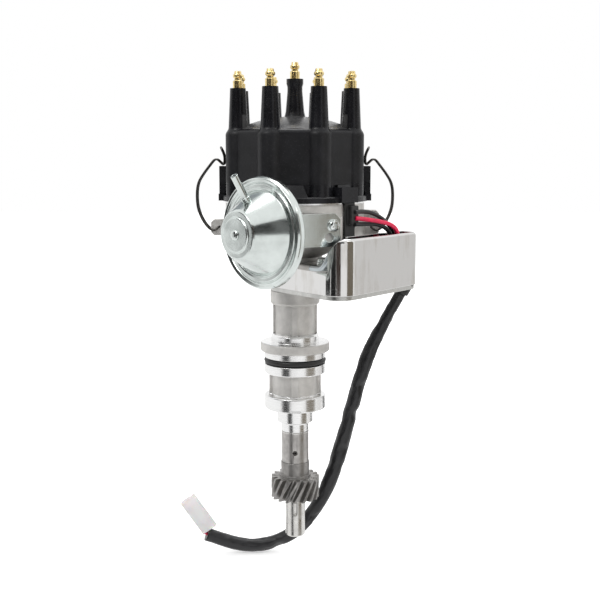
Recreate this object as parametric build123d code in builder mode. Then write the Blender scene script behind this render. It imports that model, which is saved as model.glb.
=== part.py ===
from build123d import *
from math import cos, degrees, pi, radians, sin, tan
import os

# Ignition distributor for a V8 engine, with the ignition module in a side case.
# Millimetres. The origin is on the shaft axis at the underside of the mounting flange, +Z is up,
# and -Y is the front, with the vacuum canister to the left and the module case to the right.

# Driving dimensions: running and assembly clearances
run_gap = 0.05
end_play = 0.15
seat_gap = 0.3

# Shaft, its bushes and the drive at its lower end
shaft_r = 6.7
shaft_top_r = 4.75
shaft_end_z = -129.6
shaft_top_z = 100.6
shaft_chamfer = 1.0
gear_teeth = 17
gear_r = 16.3
gear_root_r = 12.6
gear_top_z = -87.2
gear_width = 15.0
gear_helix = 29.0
gear_hub_r = 9.6
gear_hub_length = 10.3
gear_ring_r = 10.6
gear_ring_height = 1.2
collar_r = 9.15
collar_pin_r = 1.65
collar_pin_z = -69.5
gear_pin_r = 1.6
pin_recess = 0.5
pin_slit = 0.7
end_hole_r = 1.3
end_hole_z = -113.3
hex_across_flats = 7.94
hex_depth = 14.0

# Housing: shank below and above the flange, neck, cone and bowl
washer_t = 0.9
nose_end_z = -55.3
nose_low_r = 9.3
nose_low_height = 6.7
nose_r = 12.1
land_r = 20.6
low_land_height = 9.4
notch_width = 7.0
notch_depth = 0.8
notch_height = 0.9
neck_core_r = 15.5
neck_rib_r = 17.42
neck_rib_width = 5.0
neck_height = 14.8
up_land_height = 14.9
o_ring_section = 4.0
o_ring_proud = 0.2
o_ring_z = -6.4
flange_r = 23.15
flange_t = 6.2
boss_r = 16.05
boss_height = 5.4
shank_core_r = 13.4
shank_rib_r = 14.7
shank_rib_width = 3.9
shank_height = 19.7
top_collar_r = 16.45
top_collar_height = 9.2
bevel = 1.2
waist_r = 12.5
base_height = 20.5
shoulder_r = 18.0
cone_start = 2.5
bowl_r = 45.3
bowl_wall = 3.0
bowl_low_z = 76.0
bowl_top_z = 100.0
plate_seat_z = 77.6
plate_seat_step = 4.3
well_r = 20.0
well_z = 70.0
bush_wall = 1.6
low_bush_length = 25.0
up_bush_length = 28.0

# Module case, seen from above in its own axes: along the outer face, and out from the shaft axis
case_face_angle = 50.8
case_face_distance = 59.6
case_thickness = 12.6
case_end = 58.0
case_end_r = 5.0
case_corner_along = -13.5
case_corner_r = 12.5
case_edge_r = 5.5
case_fork_r = 16.8
case_back_out = 36.0
case_wall = 1.8
case_top_z = 79.0
case_top_fillet = 3.0
plate_t = 2.8
plate_inset = 1.0
ledge_t = 2.4
ramp_low_out = 38.9
ramp_high_out = 56.3
ramp_end_along = -8.0

# Distributor cap
cap_ring_overhang = 2.2
cap_ring_height = 3.0
cap_skirt_height = 8.0
cap_body_r = 41.6
cap_wall = 2.4
cap_edge_r = 3.0
ring_bevel = 0.8
skirt_step = 1.8
shoulder_height = 4.0
shoulder_blend = 1.6
cap_shoulder_z = 145.5
cap_dome_rise = 8.5
tower_count = 8
tower_first_angle = 22.5
tower_inset = 2.7
fat_tower_r = 8.1
scallop_r = 12.0
tower_foot_r = 6.1
tower_tip_r = 5.0
tower_rise = 25.5
centre_tower_foot_r = 6.0
centre_tower_waist_r = 4.85
centre_tower_lip_r = 5.45
centre_tower_rise = 23.8
centre_tower_bore = 12.0
terminal_r = 3.15
terminal_height = 10.7
terminal_bore_r = 1.9
slit_width = 0.8
slit_depth = 4.6
insert_r = 2.4
insert_reach = 5.0
insert_low_z = 107.0
socket_wall = 2.2
socket_low_z = 113.0
insert_drop = 11.0
clip_boss_reach = 7.5
clip_boss_low_z = 104.4
clip_boss_top_z = 122.2
clip_boss_width = 11.0
centre_boss_r = 6.6
centre_boss_length = 18.5
pad_angle = 45.0
pad_width = 15.0
pad_reach = 7.2
pad_height = 9.5
button_r = 3.1
button_tip_z = 118.5
button_length = 14.0
carbon_spring_gap = 0.4
carbon_spring_wire = 0.6

# Bail clips on both sides of the bowl
wire_r = 0.8
bail_half_width = 4.0
hinge_reach = 4.5
hinge_z = 82.6
lug_reach = 9.8
lug_low_z = 77.1
left_lug_top_z = 87.7
right_lug_top_z = 93.6
lug_width = 6.4
lug_slot = 2.8

# Vacuum canister: its axis points away from the bowl and passes beside the shaft
canister_angle = 45.0
canister_offset = 25.8
canister_z = 82.8
canister_gap = 8.1
rim_r = 34.25
shell_t = 1.2
rim_front = 2.6
rim_back = 3.0
hub_out = 22.0
hub_r = 10.8
hub_step = 1.1
hub_shoulder_r = 14.6
shoulder_run = 0.8
shoulder_drop = 1.6
cone_foot_r = 26.3
cone_foot_out = 2.2
ring_r = 30.2
back_depth = 8.6
back_flat_r = 14.0
diaphragm_t = 0.8
diaphragm_hole_r = 3.5
vacuum_spring_wire = 1.2
rod_width = 5.0
rod_t = 1.6
nipple_r = 2.25
nipple_bore_r = 1.2
nipple_length = 18.0
nipple_foot_height = 1.2
nipple_bead_height = 1.6
nipple_foot_step = 0.3
nipple_bead_step = 0.6
nipple_lean = 33.0
nipple_foot_radius = 19.8

# Bracket plate that carries the canister on the bowl
bracket_angle = 21.5
bracket_t = 1.6
bracket_low_z = 73.2
bracket_top_z = 93.7
bracket_right = 12.0
bracket_gap = 0.4
bracket_hole_r = 2.75
bracket_corner = 5.0

# Pickup plates and pickup
plate_sheet = 1.6
moving_plate_inset = 7.3
plate_collar_r = 14.0
pickup_gap = 0.6
reluctor_r = 20.0
reluctor_root_r = 16.0
reluctor_low_z = 85.5
reluctor_height = 6.0

# Advance mechanism and rotor
weight_plate_z = 92.8
weight_plate_t = 2.0
weight_plate_r = 29.0
weight_height = 4.6
weight_pin_circle_r = 22.0
weight_pin_r = 2.0
weight_inner_r = 9.0
weight_outer_r = 27.0
cam_long_r = 8.0
cam_short_r = 6.2
sleeve_r = 7.4
post_r = 2.4
post_circle_r = 24.5
rotor_low_z = 103.2
rotor_disc_inset = 0.9
rotor_disc_t = 2.4
rotor_hub_r = 8.5
rotor_top_z = 117.0
blade_gap = 0.7
blade_t = 1.1

# Pickup leads, harness and connector
lead_r = 1.4
harness_r = 4.5
gland_wall = 0.5
grommet_angle = 48.0
grommet_width = 10.0
grommet_low_z = 77.8
connector_width = 11.0
connector_depth = 5.6
connector_length = 27.0


def along(angle, distance, z=0.0):
    """Point at a distance from the axis, in the direction measured from the front to the right."""
    return Vector(distance * sin(radians(angle)), -distance * cos(radians(angle)), z)


def direction(angle):
    return along(angle, 1.0)


def write(part, name):
    part.label = name
    export_step(part, "parts/" + name + ".step")


os.makedirs("parts", exist_ok=True)

# Heights that follow from the driving dimensions
gear_low_z = gear_top_z - gear_width
gear_hub_top_z = gear_top_z + gear_hub_length
collar_low_z = gear_hub_top_z
collar_top_z = nose_end_z - end_play - washer_t
boss_top_z = flange_t + boss_height
shank_top_z = boss_top_z + shank_height
collar_seat_z = shank_top_z + top_collar_height
ledge_z = collar_seat_z + base_height
case_low_z = collar_seat_z + plate_t
bowl_inner_r = bowl_r - bowl_wall
plate_seat_r = bowl_inner_r - plate_seat_step
moving_plate_r = bowl_inner_r - moving_plate_inset
hinge_r = bowl_r + hinge_reach
lug_r = bowl_r + lug_reach
canister_out = bowl_r + canister_gap
cap_ring_r = bowl_r + cap_ring_overhang
cap_skirt_top_z = bowl_top_z + cap_ring_height + cap_skirt_height
cap_dome_z = cap_shoulder_z + cap_dome_rise
tower_circle_r = cap_body_r - tower_inset
tower_top_z = cap_shoulder_z + tower_rise
centre_tower_top_z = cap_dome_z + centre_tower_rise
insert_inner_r = tower_circle_r - insert_reach
insert_top_z = tower_top_z - insert_drop
clip_boss_r = cap_body_r + clip_boss_reach
centre_boss_low_z = cap_shoulder_z - centre_boss_length
rotor_disc_r = insert_inner_r - rotor_disc_inset
blade_tip_r = insert_inner_r - blade_gap
bush_r = shaft_r + run_gap + bush_wall
up_bush_low_z = well_z - up_bush_length
fixed_plate_top_z = plate_seat_z + plate_sheet
moving_plate_z = fixed_plate_top_z + seat_gap
moving_plate_top_z = moving_plate_z + plate_sheet
weight_z = weight_plate_z + weight_plate_t + seat_gap
rim_plane = Plane(
    origin=direction(-canister_angle) * canister_out
    + direction(90 - canister_angle) * canister_offset
    + Vector(0, 0, canister_z),
    x_dir=(0, 0, 1),
    z_dir=direction(90 - canister_angle),
)
canister_axis = Axis(rim_plane.origin, direction(-canister_angle))
outward = direction(-canister_angle)
case_out = direction(case_face_angle)
case_along = direction(case_face_angle + 90)


def case_plane(z):
    """Plane at a height, with X along the outer face and -Y out from the shaft axis."""
    return Plane(origin=(0, 0, z), x_dir=case_along, z_dir=(0, 0, 1))


# Housing: shank, flange, neck, cone and bowl in one casting
shank_profile = [
    (bush_r, nose_end_z),
    (nose_low_r, nose_end_z),
    (nose_low_r, nose_end_z + nose_low_height - bevel),
    (nose_low_r + bevel, nose_end_z + nose_low_height),
    (nose_r, nose_end_z + nose_low_height),
    (nose_r, -up_land_height - neck_height - low_land_height),
    (land_r - bevel / 2, -up_land_height - neck_height - low_land_height),
    (land_r, -up_land_height - neck_height - low_land_height + bevel / 2),
    (land_r, -up_land_height - neck_height - bevel / 2),
    (land_r - bevel / 2, -up_land_height - neck_height),
    (neck_core_r, -up_land_height - neck_height),
    (neck_core_r, -up_land_height),
    (land_r - bevel / 2, -up_land_height),
    (land_r, -up_land_height + bevel / 2),
    (land_r, 0),
    (flange_r - bevel / 2, 0),
    (flange_r, bevel / 2),
    (flange_r, flange_t - bevel / 2),
    (flange_r - bevel / 2, flange_t),
    (boss_r, flange_t),
    (boss_r, boss_top_z - bevel),
    (boss_r - bevel, boss_top_z),
    (shank_core_r, boss_top_z),
    (shank_core_r, shank_top_z),
    (top_collar_r - bevel, shank_top_z),
    (top_collar_r, shank_top_z + bevel),
    (top_collar_r, collar_seat_z),
    (waist_r, collar_seat_z),
    (waist_r, ledge_z),
    (shoulder_r, ledge_z),
    (shoulder_r, ledge_z + cone_start),
    (bowl_r, bowl_low_z),
    (bowl_r, bowl_top_z),
    (bowl_inner_r, bowl_top_z),
    (bowl_inner_r, plate_seat_z),
    (plate_seat_r, plate_seat_z),
    (well_r, well_z),
    (bush_r, well_z),
    (bush_r, up_bush_low_z),
    (bush_r - bush_wall / 2, up_bush_low_z),
    (bush_r - bush_wall / 2, nose_end_z + low_bush_length),
    (bush_r, nose_end_z + low_bush_length),
]
pad_out = bowl_r + bracket_gap
pad_plane = Plane(
    origin=direction(bracket_angle) * pad_out + Vector(0, 0, (bracket_low_z + bracket_top_z) / 2),
    x_dir=direction(bracket_angle + 90),
    z_dir=direction(bracket_angle),
)
groove_depth = o_ring_section - o_ring_proud
with BuildPart() as housing:
    with BuildSketch(Plane.XZ):
        with BuildLine():
            Polyline(*shank_profile, close=True)
        make_face()
    revolve(axis=Axis.Z)
    for rib_angle in (0, 90, 180, 270):
        rib_plane = Plane(origin=(0, 0, 0), x_dir=direction(rib_angle), z_dir=(0, 0, 1))
        with BuildSketch(rib_plane.offset(boss_top_z - bevel)):
            with Locations(((shank_core_r + shank_rib_r) / 2 - 0.5, 0)):
                Rectangle(shank_rib_r - shank_core_r + 1.0, shank_rib_width)
        extrude(amount=shank_height + bevel)
        with BuildSketch(rib_plane.offset(-up_land_height - neck_height)):
            with Locations(((neck_core_r + neck_rib_r) / 2 - 0.5, 0)):
                Rectangle(neck_rib_r - neck_core_r + 1.0, neck_rib_width)
        extrude(amount=neck_height)
    with BuildSketch(pad_plane):
        Rectangle(2 * bracket_right + 4.0, bracket_top_z - bracket_low_z - 4.0)
    extrude(amount=-(bowl_wall + bracket_gap - 0.4))
    with BuildSketch(Plane.XZ):
        with Locations((land_r - groove_depth / 2, o_ring_z)):
            Rectangle(groove_depth, o_ring_section + 0.4)
    revolve(axis=Axis.Z, mode=Mode.SUBTRACT)
    with Locations((0, -land_r, -up_land_height - neck_height - low_land_height + bevel)):
        Box(notch_width, 2 * notch_depth, notch_height, mode=Mode.SUBTRACT)
    for side, lug_top_z in ((-1, left_lug_top_z), (1, right_lug_top_z)):
        with BuildSketch(Plane.XZ.offset(-lug_width / 2)):
            with BuildLine():
                Polyline(
                    (side * (bowl_r - 1.0), lug_low_z),
                    (side * (lug_r - 2.0), lug_low_z),
                    (side * lug_r, lug_low_z + 2.0),
                    (side * lug_r, lug_top_z - 2.0),
                    (side * (lug_r - 2.0), lug_top_z),
                    (side * (bowl_r - 1.0), lug_top_z),
                    close=True,
                )
            make_face()
        extrude(amount=lug_width)
        with Locations((side * lug_r, 0, lug_top_z - 2.0)):
            Box(lug_reach, lug_slot, 2 * (lug_top_z - hinge_z - 3.0), mode=Mode.SUBTRACT)
        with Locations(Location((side * hinge_r, 0, hinge_z), (90, 0, 0))):
            Cylinder(wire_r + run_gap, lug_width + 2.0, mode=Mode.SUBTRACT)
    with BuildSketch(Plane(origin=rim_plane.origin, x_dir=(0, 0, 1), z_dir=outward)):
        Rectangle(rod_t + 3.0, rod_width + 3.0)
    extrude(amount=-(canister_out - well_r), mode=Mode.SUBTRACT)
    with BuildSketch(
        Plane(origin=along(grommet_angle, bowl_inner_r - 3.0), x_dir=direction(grommet_angle + 90),
              z_dir=direction(grommet_angle))
    ):
        with Locations((0, (grommet_low_z + bowl_top_z) / 2 + 2.0)):
            Rectangle(grommet_width - 2.0, bowl_top_z - grommet_low_z + 4.0)
    extrude(amount=bowl_wall + 8.0, mode=Mode.SUBTRACT)
write(housing.part, "housing")

# Bushes, thrust washer and the O-ring on the upper land
for name, low_z, length in (
    ("lower_bush", nose_end_z, low_bush_length),
    ("upper_bush", up_bush_low_z, up_bush_length),
):
    with BuildPart() as bush:
        with BuildSketch(Plane.XY.offset(low_z)):
            Circle(bush_r)
            Circle(shaft_r + run_gap, mode=Mode.SUBTRACT)
        extrude(amount=length)
    write(bush.part, name)

with BuildPart() as thrust_washer:
    with BuildSketch(Plane.XY.offset(collar_top_z)):
        Circle(collar_r + 0.2)
        Circle(shaft_r, mode=Mode.SUBTRACT)
    extrude(amount=washer_t)
write(thrust_washer.part, "thrust_washer")

ring_middle_r = land_r + o_ring_proud - o_ring_section / 2
with BuildPart() as shank_o_ring:
    with BuildSketch(Plane.XZ):
        with Locations((ring_middle_r, o_ring_z)):
            Circle(o_ring_section / 2)
    revolve(axis=Axis.Z)
write(shank_o_ring.part, "shank_o_ring")

# Drive shaft with the hexagonal socket for the oil pump rod
journal_top_z = well_z + 1.2
with BuildPart() as drive_shaft:
    with BuildSketch(Plane.XY.offset(shaft_end_z)):
        Circle(shaft_r)
    extrude(amount=journal_top_z - shaft_end_z)
    chamfer(drive_shaft.edges().group_by(Axis.Z)[0], shaft_chamfer)
    with BuildSketch(Plane.XY.offset(journal_top_z)):
        Circle(shaft_top_r)
    extrude(amount=shaft_top_z - journal_top_z)
    with BuildSketch(Plane.XY.offset(shaft_end_z)):
        RegularPolygon(hex_across_flats / 2, 6, major_radius=False)
    extrude(amount=hex_depth, mode=Mode.SUBTRACT)
    with Locations(Location((0, 0, end_hole_z), (90, 0, 0))):
        Cylinder(end_hole_r, 2 * shaft_r + 2.0, mode=Mode.SUBTRACT)
    with Locations(Location((0, 0, collar_pin_z), (90, 0, 0))):
        Cylinder(collar_pin_r, 2 * shaft_r + 2.0, mode=Mode.SUBTRACT)
    with Locations(Location((0, 0, gear_hub_top_z - gear_hub_length / 2), (0, 90, 0))):
        Cylinder(gear_pin_r, 2 * shaft_r + 2.0, mode=Mode.SUBTRACT)
write(drive_shaft.part, "drive_shaft")

with BuildPart() as shaft_collar:
    with BuildSketch(Plane.XY.offset(collar_low_z)):
        Circle(collar_r)
        Circle(shaft_r, mode=Mode.SUBTRACT)
    extrude(amount=collar_top_z - collar_low_z)
    with Locations(Location((0, 0, collar_pin_z), (90, 0, 0))):
        Cylinder(collar_pin_r, 2 * collar_r + 2.0, mode=Mode.SUBTRACT)
write(shaft_collar.part, "shaft_collar")

# Roll pins: split tubes that hold the collar and the gear on the shaft
gear_pin_z = gear_hub_top_z - gear_hub_length / 2
for name, pin_r, pin_z, pin_reach, pin_way in (
    ("collar_pin", collar_pin_r, collar_pin_z, collar_r - pin_recess, (0, -1, 0)),
    ("gear_pin", gear_pin_r, gear_pin_z, gear_hub_r - pin_recess, (1, 0, 0)),
):
    with BuildPart() as roll_pin:
        with BuildSketch(Plane(origin=(0, 0, pin_z), z_dir=pin_way).offset(-pin_reach)):
            Circle(pin_r)
            Circle(pin_r * 0.5, mode=Mode.SUBTRACT)
            with Locations((0, -pin_r)):
                Rectangle(pin_slit, 1.6 * pin_r, mode=Mode.SUBTRACT)
        extrude(amount=2 * pin_reach)
    write(roll_pin.part, name)

# Helical drive gear: the tooth section is one polygon, turned as it rises
tooth_pitch = 360 / gear_teeth
tooth_points = []
for tooth in range(gear_teeth):
    for share, radius in ((-0.36, gear_root_r), (-0.15, gear_r), (0.15, gear_r), (0.36, gear_root_r)):
        point = along((tooth + share) * tooth_pitch, radius)
        tooth_points.append((point.X, point.Y))
with BuildSketch(Plane.XY.offset(gear_low_z)) as tooth_section:
    with BuildLine():
        Polyline(*tooth_points, close=True)
    make_face()
gear_twist = degrees(gear_width * tan(radians(gear_helix)) / gear_r)
twisted_teeth = Solid.extrude_linear_with_rotation(
    tooth_section.sketch.faces()[0], (0, 0, gear_low_z), (0, 0, gear_width), gear_twist
)
with BuildPart() as drive_gear:
    add(twisted_teeth)
    with BuildSketch(Plane.XY.offset(gear_top_z)):
        Circle(gear_ring_r)
    extrude(amount=gear_ring_height)
    with BuildSketch(Plane.XY.offset(gear_top_z)):
        Circle(gear_hub_r)
    extrude(amount=gear_hub_length)
    with BuildSketch(Plane.XY.offset(gear_low_z)):
        Circle(shaft_r)
    extrude(amount=gear_width + gear_hub_length, mode=Mode.SUBTRACT)
    with Locations(Location((0, 0, gear_pin_z), (0, 90, 0))):
        Cylinder(gear_pin_r, 2 * gear_hub_r + 2.0, mode=Mode.SUBTRACT)
write(drive_gear.part, "drive_gear")


# Module case: a tall box beside the bowl and a low tray that forks round the waist of the housing
def case_outline():
    """Plan of the case as the hull of its corner circles, in the case's own axes."""
    with BuildSketch() as outline:
        with Locations((0, 0)):
            Circle(case_fork_r)
        with Locations((case_corner_along, -(case_face_distance - case_corner_r))):
            Circle(case_corner_r)
        with Locations(
            (case_end - case_end_r, -(case_face_distance - case_end_r)),
            (case_end - case_end_r, -case_back_out),
        ):
            Circle(case_end_r)
        make_hull()
    return outline.sketch


def fork_slot(clearance):
    """Slot that lets the fork slide over the waist, in the case's own axes."""
    slot_r = waist_r + clearance
    with BuildSketch() as slot:
        Circle(slot_r)
        with Locations((0, slot_r + case_fork_r)):
            Rectangle(2 * slot_r, 2 * (slot_r + case_fork_r))
    return slot.sketch


box_back_out = case_face_distance - case_thickness
case_plan = case_outline()
slot_plan = fork_slot(seat_gap)
wall_plan = fork_slot(seat_gap + case_wall)
ramp_plane = Plane(origin=case_along * ramp_end_along, x_dir=case_out, z_dir=-case_along)
far = 200.0
with BuildPart() as case_tray:
    with BuildSketch(case_plane(case_low_z)):
        add(case_plan)
    extrude(amount=ledge_z - case_low_z)
    fillet(case_tray.faces().sort_by(Axis.Z)[-1].edges(), case_edge_r)

with BuildPart() as module_case:
    with BuildSketch(case_plane(case_low_z)):
        add(case_plan)
    extrude(amount=case_top_z - case_low_z)
    fillet(module_case.faces().sort_by(Axis.Z)[-1].edges(), case_top_fillet)
    with BuildSketch(case_plane(case_low_z)):
        with Locations((0, -box_back_out + far / 2)):
            Rectangle(2 * far, far)
    extrude(amount=far, mode=Mode.SUBTRACT)
    with BuildSketch(ramp_plane):
        with BuildLine():
            ramp = Spline(
                (ramp_low_out, ledge_z),
                (ramp_high_out, case_top_z),
                tangents=((1, 0), (1, 0.25)),
                tangent_scalars=(0.8, 0.8),
            )
            Polyline(ramp @ 1, (ramp_high_out, case_top_z + 10), (ramp_low_out, case_top_z + 10),
                     (ramp_low_out, ledge_z))
        make_face()
    extrude(amount=far, mode=Mode.SUBTRACT)
    add(case_tray.part)
    with BuildSketch(case_plane(case_low_z)):
        offset(case_plan, amount=-case_wall)
        with Locations((0, -box_back_out - case_wall - far / 2)):
            Rectangle(2 * far, far, mode=Mode.INTERSECT)
    extrude(amount=far, mode=Mode.SUBTRACT)
    with BuildSketch(case_plane(case_low_z)):
        offset(case_plan, amount=-case_wall)
        with Locations((0, -box_back_out + far / 2)):
            Rectangle(2 * far, far, mode=Mode.INTERSECT)
        add(wall_plan, mode=Mode.SUBTRACT)
    extrude(amount=ledge_z - ledge_t - case_low_z, mode=Mode.SUBTRACT)
    with BuildSketch(case_plane(case_low_z)):
        add(slot_plan)
    extrude(amount=ledge_z - case_low_z, mode=Mode.SUBTRACT)

# Exit of the harness through the base plate, along the first run of its route
harness_route = [
    Vector(72.6, 6.7, 40.5),
    Vector(60.9, 9.3, 18.5),
    Vector(48.8, 11.5, -6.8),
    Vector(40.2, 13.5, -38.9),
    Vector(33.0, 15.0, -68.0),
    Vector(25.6, 16.0, -94.0),
    Vector(16.4, 16.5, -114.0),
    Vector(5.6, 17.0, -129.5),
    Vector(-8.4, 17.0, -140.0),
    Vector(-26.0, 16.4, -145.0),
    Vector(-44.6, 14.6, -142.4),
    Vector(-62.1, 12.0, -134.5),
]
exit_point = harness_route[0]
exit_run = (harness_route[1] - harness_route[0]).normalized()
gland_r = harness_r + gland_wall
gland_drop = 3.0
gland_plane = Plane(origin=exit_point + exit_run * gland_drop, z_dir=-exit_run)

screw_spots = [(-9.9, -30.6), (36.0, -42.0), (12.0, -40.0)]
screw_shank_r = 1.9
with BuildPart() as module_base_plate:
    with BuildSketch(case_plane(collar_seat_z)):
        offset(case_plan, amount=-plate_inset)
        add(slot_plan, mode=Mode.SUBTRACT)
    extrude(amount=plate_t)
    with BuildSketch(gland_plane):
        Circle(gland_r)
    extrude(amount=3 * gland_drop, mode=Mode.SUBTRACT)
    with BuildSketch(case_plane(collar_seat_z)):
        with Locations(*screw_spots):
            Circle(screw_shank_r)
    extrude(amount=plate_t, mode=Mode.SUBTRACT)
write(module_base_plate.part, "module_base_plate")

# Two case screws stand on the ledge, and the third ends a pillar inside the tray
with BuildPart() as case_drilled:
    add(module_case.part)
    with BuildSketch(case_plane(case_low_z)):
        with Locations(*screw_spots):
            Circle(screw_shank_r + 1.6)
    extrude(amount=ledge_z - case_low_z)
    with BuildSketch(case_plane(case_low_z)):
        with Locations(*screw_spots):
            Circle(screw_shank_r)
    extrude(amount=ledge_z - case_low_z, mode=Mode.SUBTRACT)
write(case_drilled.part, "module_case")

screw_head_r = 3.4
screw_head_height = 3.0
washer_r = 4.0
with BuildPart() as case_screws:
    with BuildSketch(case_plane(collar_seat_z)):
        with Locations(*screw_spots):
            Circle(screw_shank_r)
    extrude(amount=ledge_z - collar_seat_z)
    with BuildSketch(case_plane(ledge_z)):
        with Locations(*screw_spots):
            Circle(washer_r)
    extrude(amount=1.0)
    with BuildSketch(case_plane(ledge_z + 1.0)):
        with Locations(*screw_spots):
            Circle(screw_head_r)
    extrude(amount=screw_head_height)
write(case_screws.part, "case_screws")

# Ignition module: a potted block in the tall box
module_gap = 0.4
module_middle = 16.0
module_length = 56.0
with BuildPart() as ignition_module:
    with BuildSketch(case_plane(case_low_z)):
        offset(case_plan, amount=-case_wall - module_gap)
        with Locations((module_middle, -box_back_out - case_wall - module_gap - far / 2)):
            Rectangle(module_length, far, mode=Mode.INTERSECT)
    extrude(amount=case_top_z - case_low_z - 5.0)
write(ignition_module.part, "ignition_module")

with BuildPart() as harness_gland:
    with BuildSketch(gland_plane):
        Circle(gland_r)
    extrude(amount=3 * gland_drop)
    with BuildSketch(case_plane(case_low_z)):
        Rectangle(2 * far, 2 * far)
    extrude(amount=far, mode=Mode.SUBTRACT)
write(harness_gland.part, "harness_gland")


def arc_radii(points):
    """Radius of the arc at each inner point: 0.45 of the shorter run over the half turn's tangent."""
    radii = []
    for before, here, after in zip(points, points[1:], points[2:]):
        shorter = min((here - before).length, (after - here).length)
        turn = (here - before).get_angle(after - here)
        radii.append(0.45 * shorter / tan(radians(turn) / 2))
    return radii


def tube(points, radius):
    """Round tube along straight runs joined by tangent arcs."""
    radii = arc_radii(points)
    print("arc radii", [round(value, 1) for value in radii])
    with BuildPart() as hose:
        with BuildLine() as path:
            FilletPolyline(*points, radius=radii)
        with BuildSketch(Plane(origin=points[0], z_dir=points[1] - points[0])):
            Circle(radius)
        sweep()
    length = path.wires()[0].length
    print("volume over section times length", round(hose.part.volume / (pi * radius**2 * length), 4),
          "length", round(length, 1))
    return hose.part


sleeve_route = [exit_point + exit_run * gland_drop] + harness_route[1:]
write(tube(sleeve_route, harness_r), "harness_sleeve")

# Connector: a two-way nylon shell, turned up from the open end of the sleeve
wire_start = sleeve_route[-1]
connector_run = Vector(-12.6, 0, 26.0).normalized()
connector_plane = Plane(origin=wire_start + connector_run * 4.0 + Vector(-3.0, 0, 1.0),
                        x_dir=(0, 1, 0), z_dir=connector_run)
shell_wall = 1.1
with BuildPart() as connector_shell:
    with BuildSketch(connector_plane):
        RectangleRounded(connector_depth, connector_width, 0.8)
    extrude(amount=connector_length)
    with BuildSketch(connector_plane):
        with Locations((0, -connector_width / 4), (0, connector_width / 4)):
            Rectangle(connector_depth - 2 * shell_wall, connector_width / 2 - 1.5 * shell_wall)
    extrude(amount=connector_length - 6.0, mode=Mode.SUBTRACT)
write(connector_shell.part, "connector_shell")

connector_wire_r = 1.1
sleeve_end_run = (sleeve_route[-1] - sleeve_route[-2]).normalized()
wire_parts = []
for lane in (-1, 1):
    wire_lane = sleeve_end_run.cross(Vector(0, 1, 0)).normalized() * lane * 1.4
    mouth_lane = connector_plane.y_dir * lane * connector_width / 4
    wire_parts.append(tube([
        wire_start + wire_lane,
        wire_start + wire_lane + sleeve_end_run * 5.0,
        connector_plane.origin + mouth_lane + connector_run * 3.0,
        connector_plane.origin + mouth_lane + connector_run * 9.0,
    ], connector_wire_r))
connector_wires = Part(children=wire_parts)
write(connector_wires, "connector_wires")

# Distributor cap: skirt, eight-sided wall, dome, eight towers and the centre tower
cap_cavity_r = cap_body_r - cap_wall
cap_cavity_top_z = cap_shoulder_z - 5.0
tower_low_z = bowl_top_z + cap_ring_height
with BuildPart() as cap_tower:
    with BuildSketch(Plane.XZ):
        with BuildLine():
            fat_side = Polyline((0, tower_low_z), (fat_tower_r, tower_low_z),
                                (fat_tower_r, cap_shoulder_z - shoulder_height))
            shoulder_line = Spline(fat_side @ 1, (tower_foot_r, cap_shoulder_z + shoulder_blend),
                                   tangents=((0, 1), (0, 1)))
            Polyline(shoulder_line @ 1, (tower_tip_r, tower_top_z), (0, tower_top_z), fat_side @ 0)
        make_face()
    revolve(axis=Axis.Z)

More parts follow.
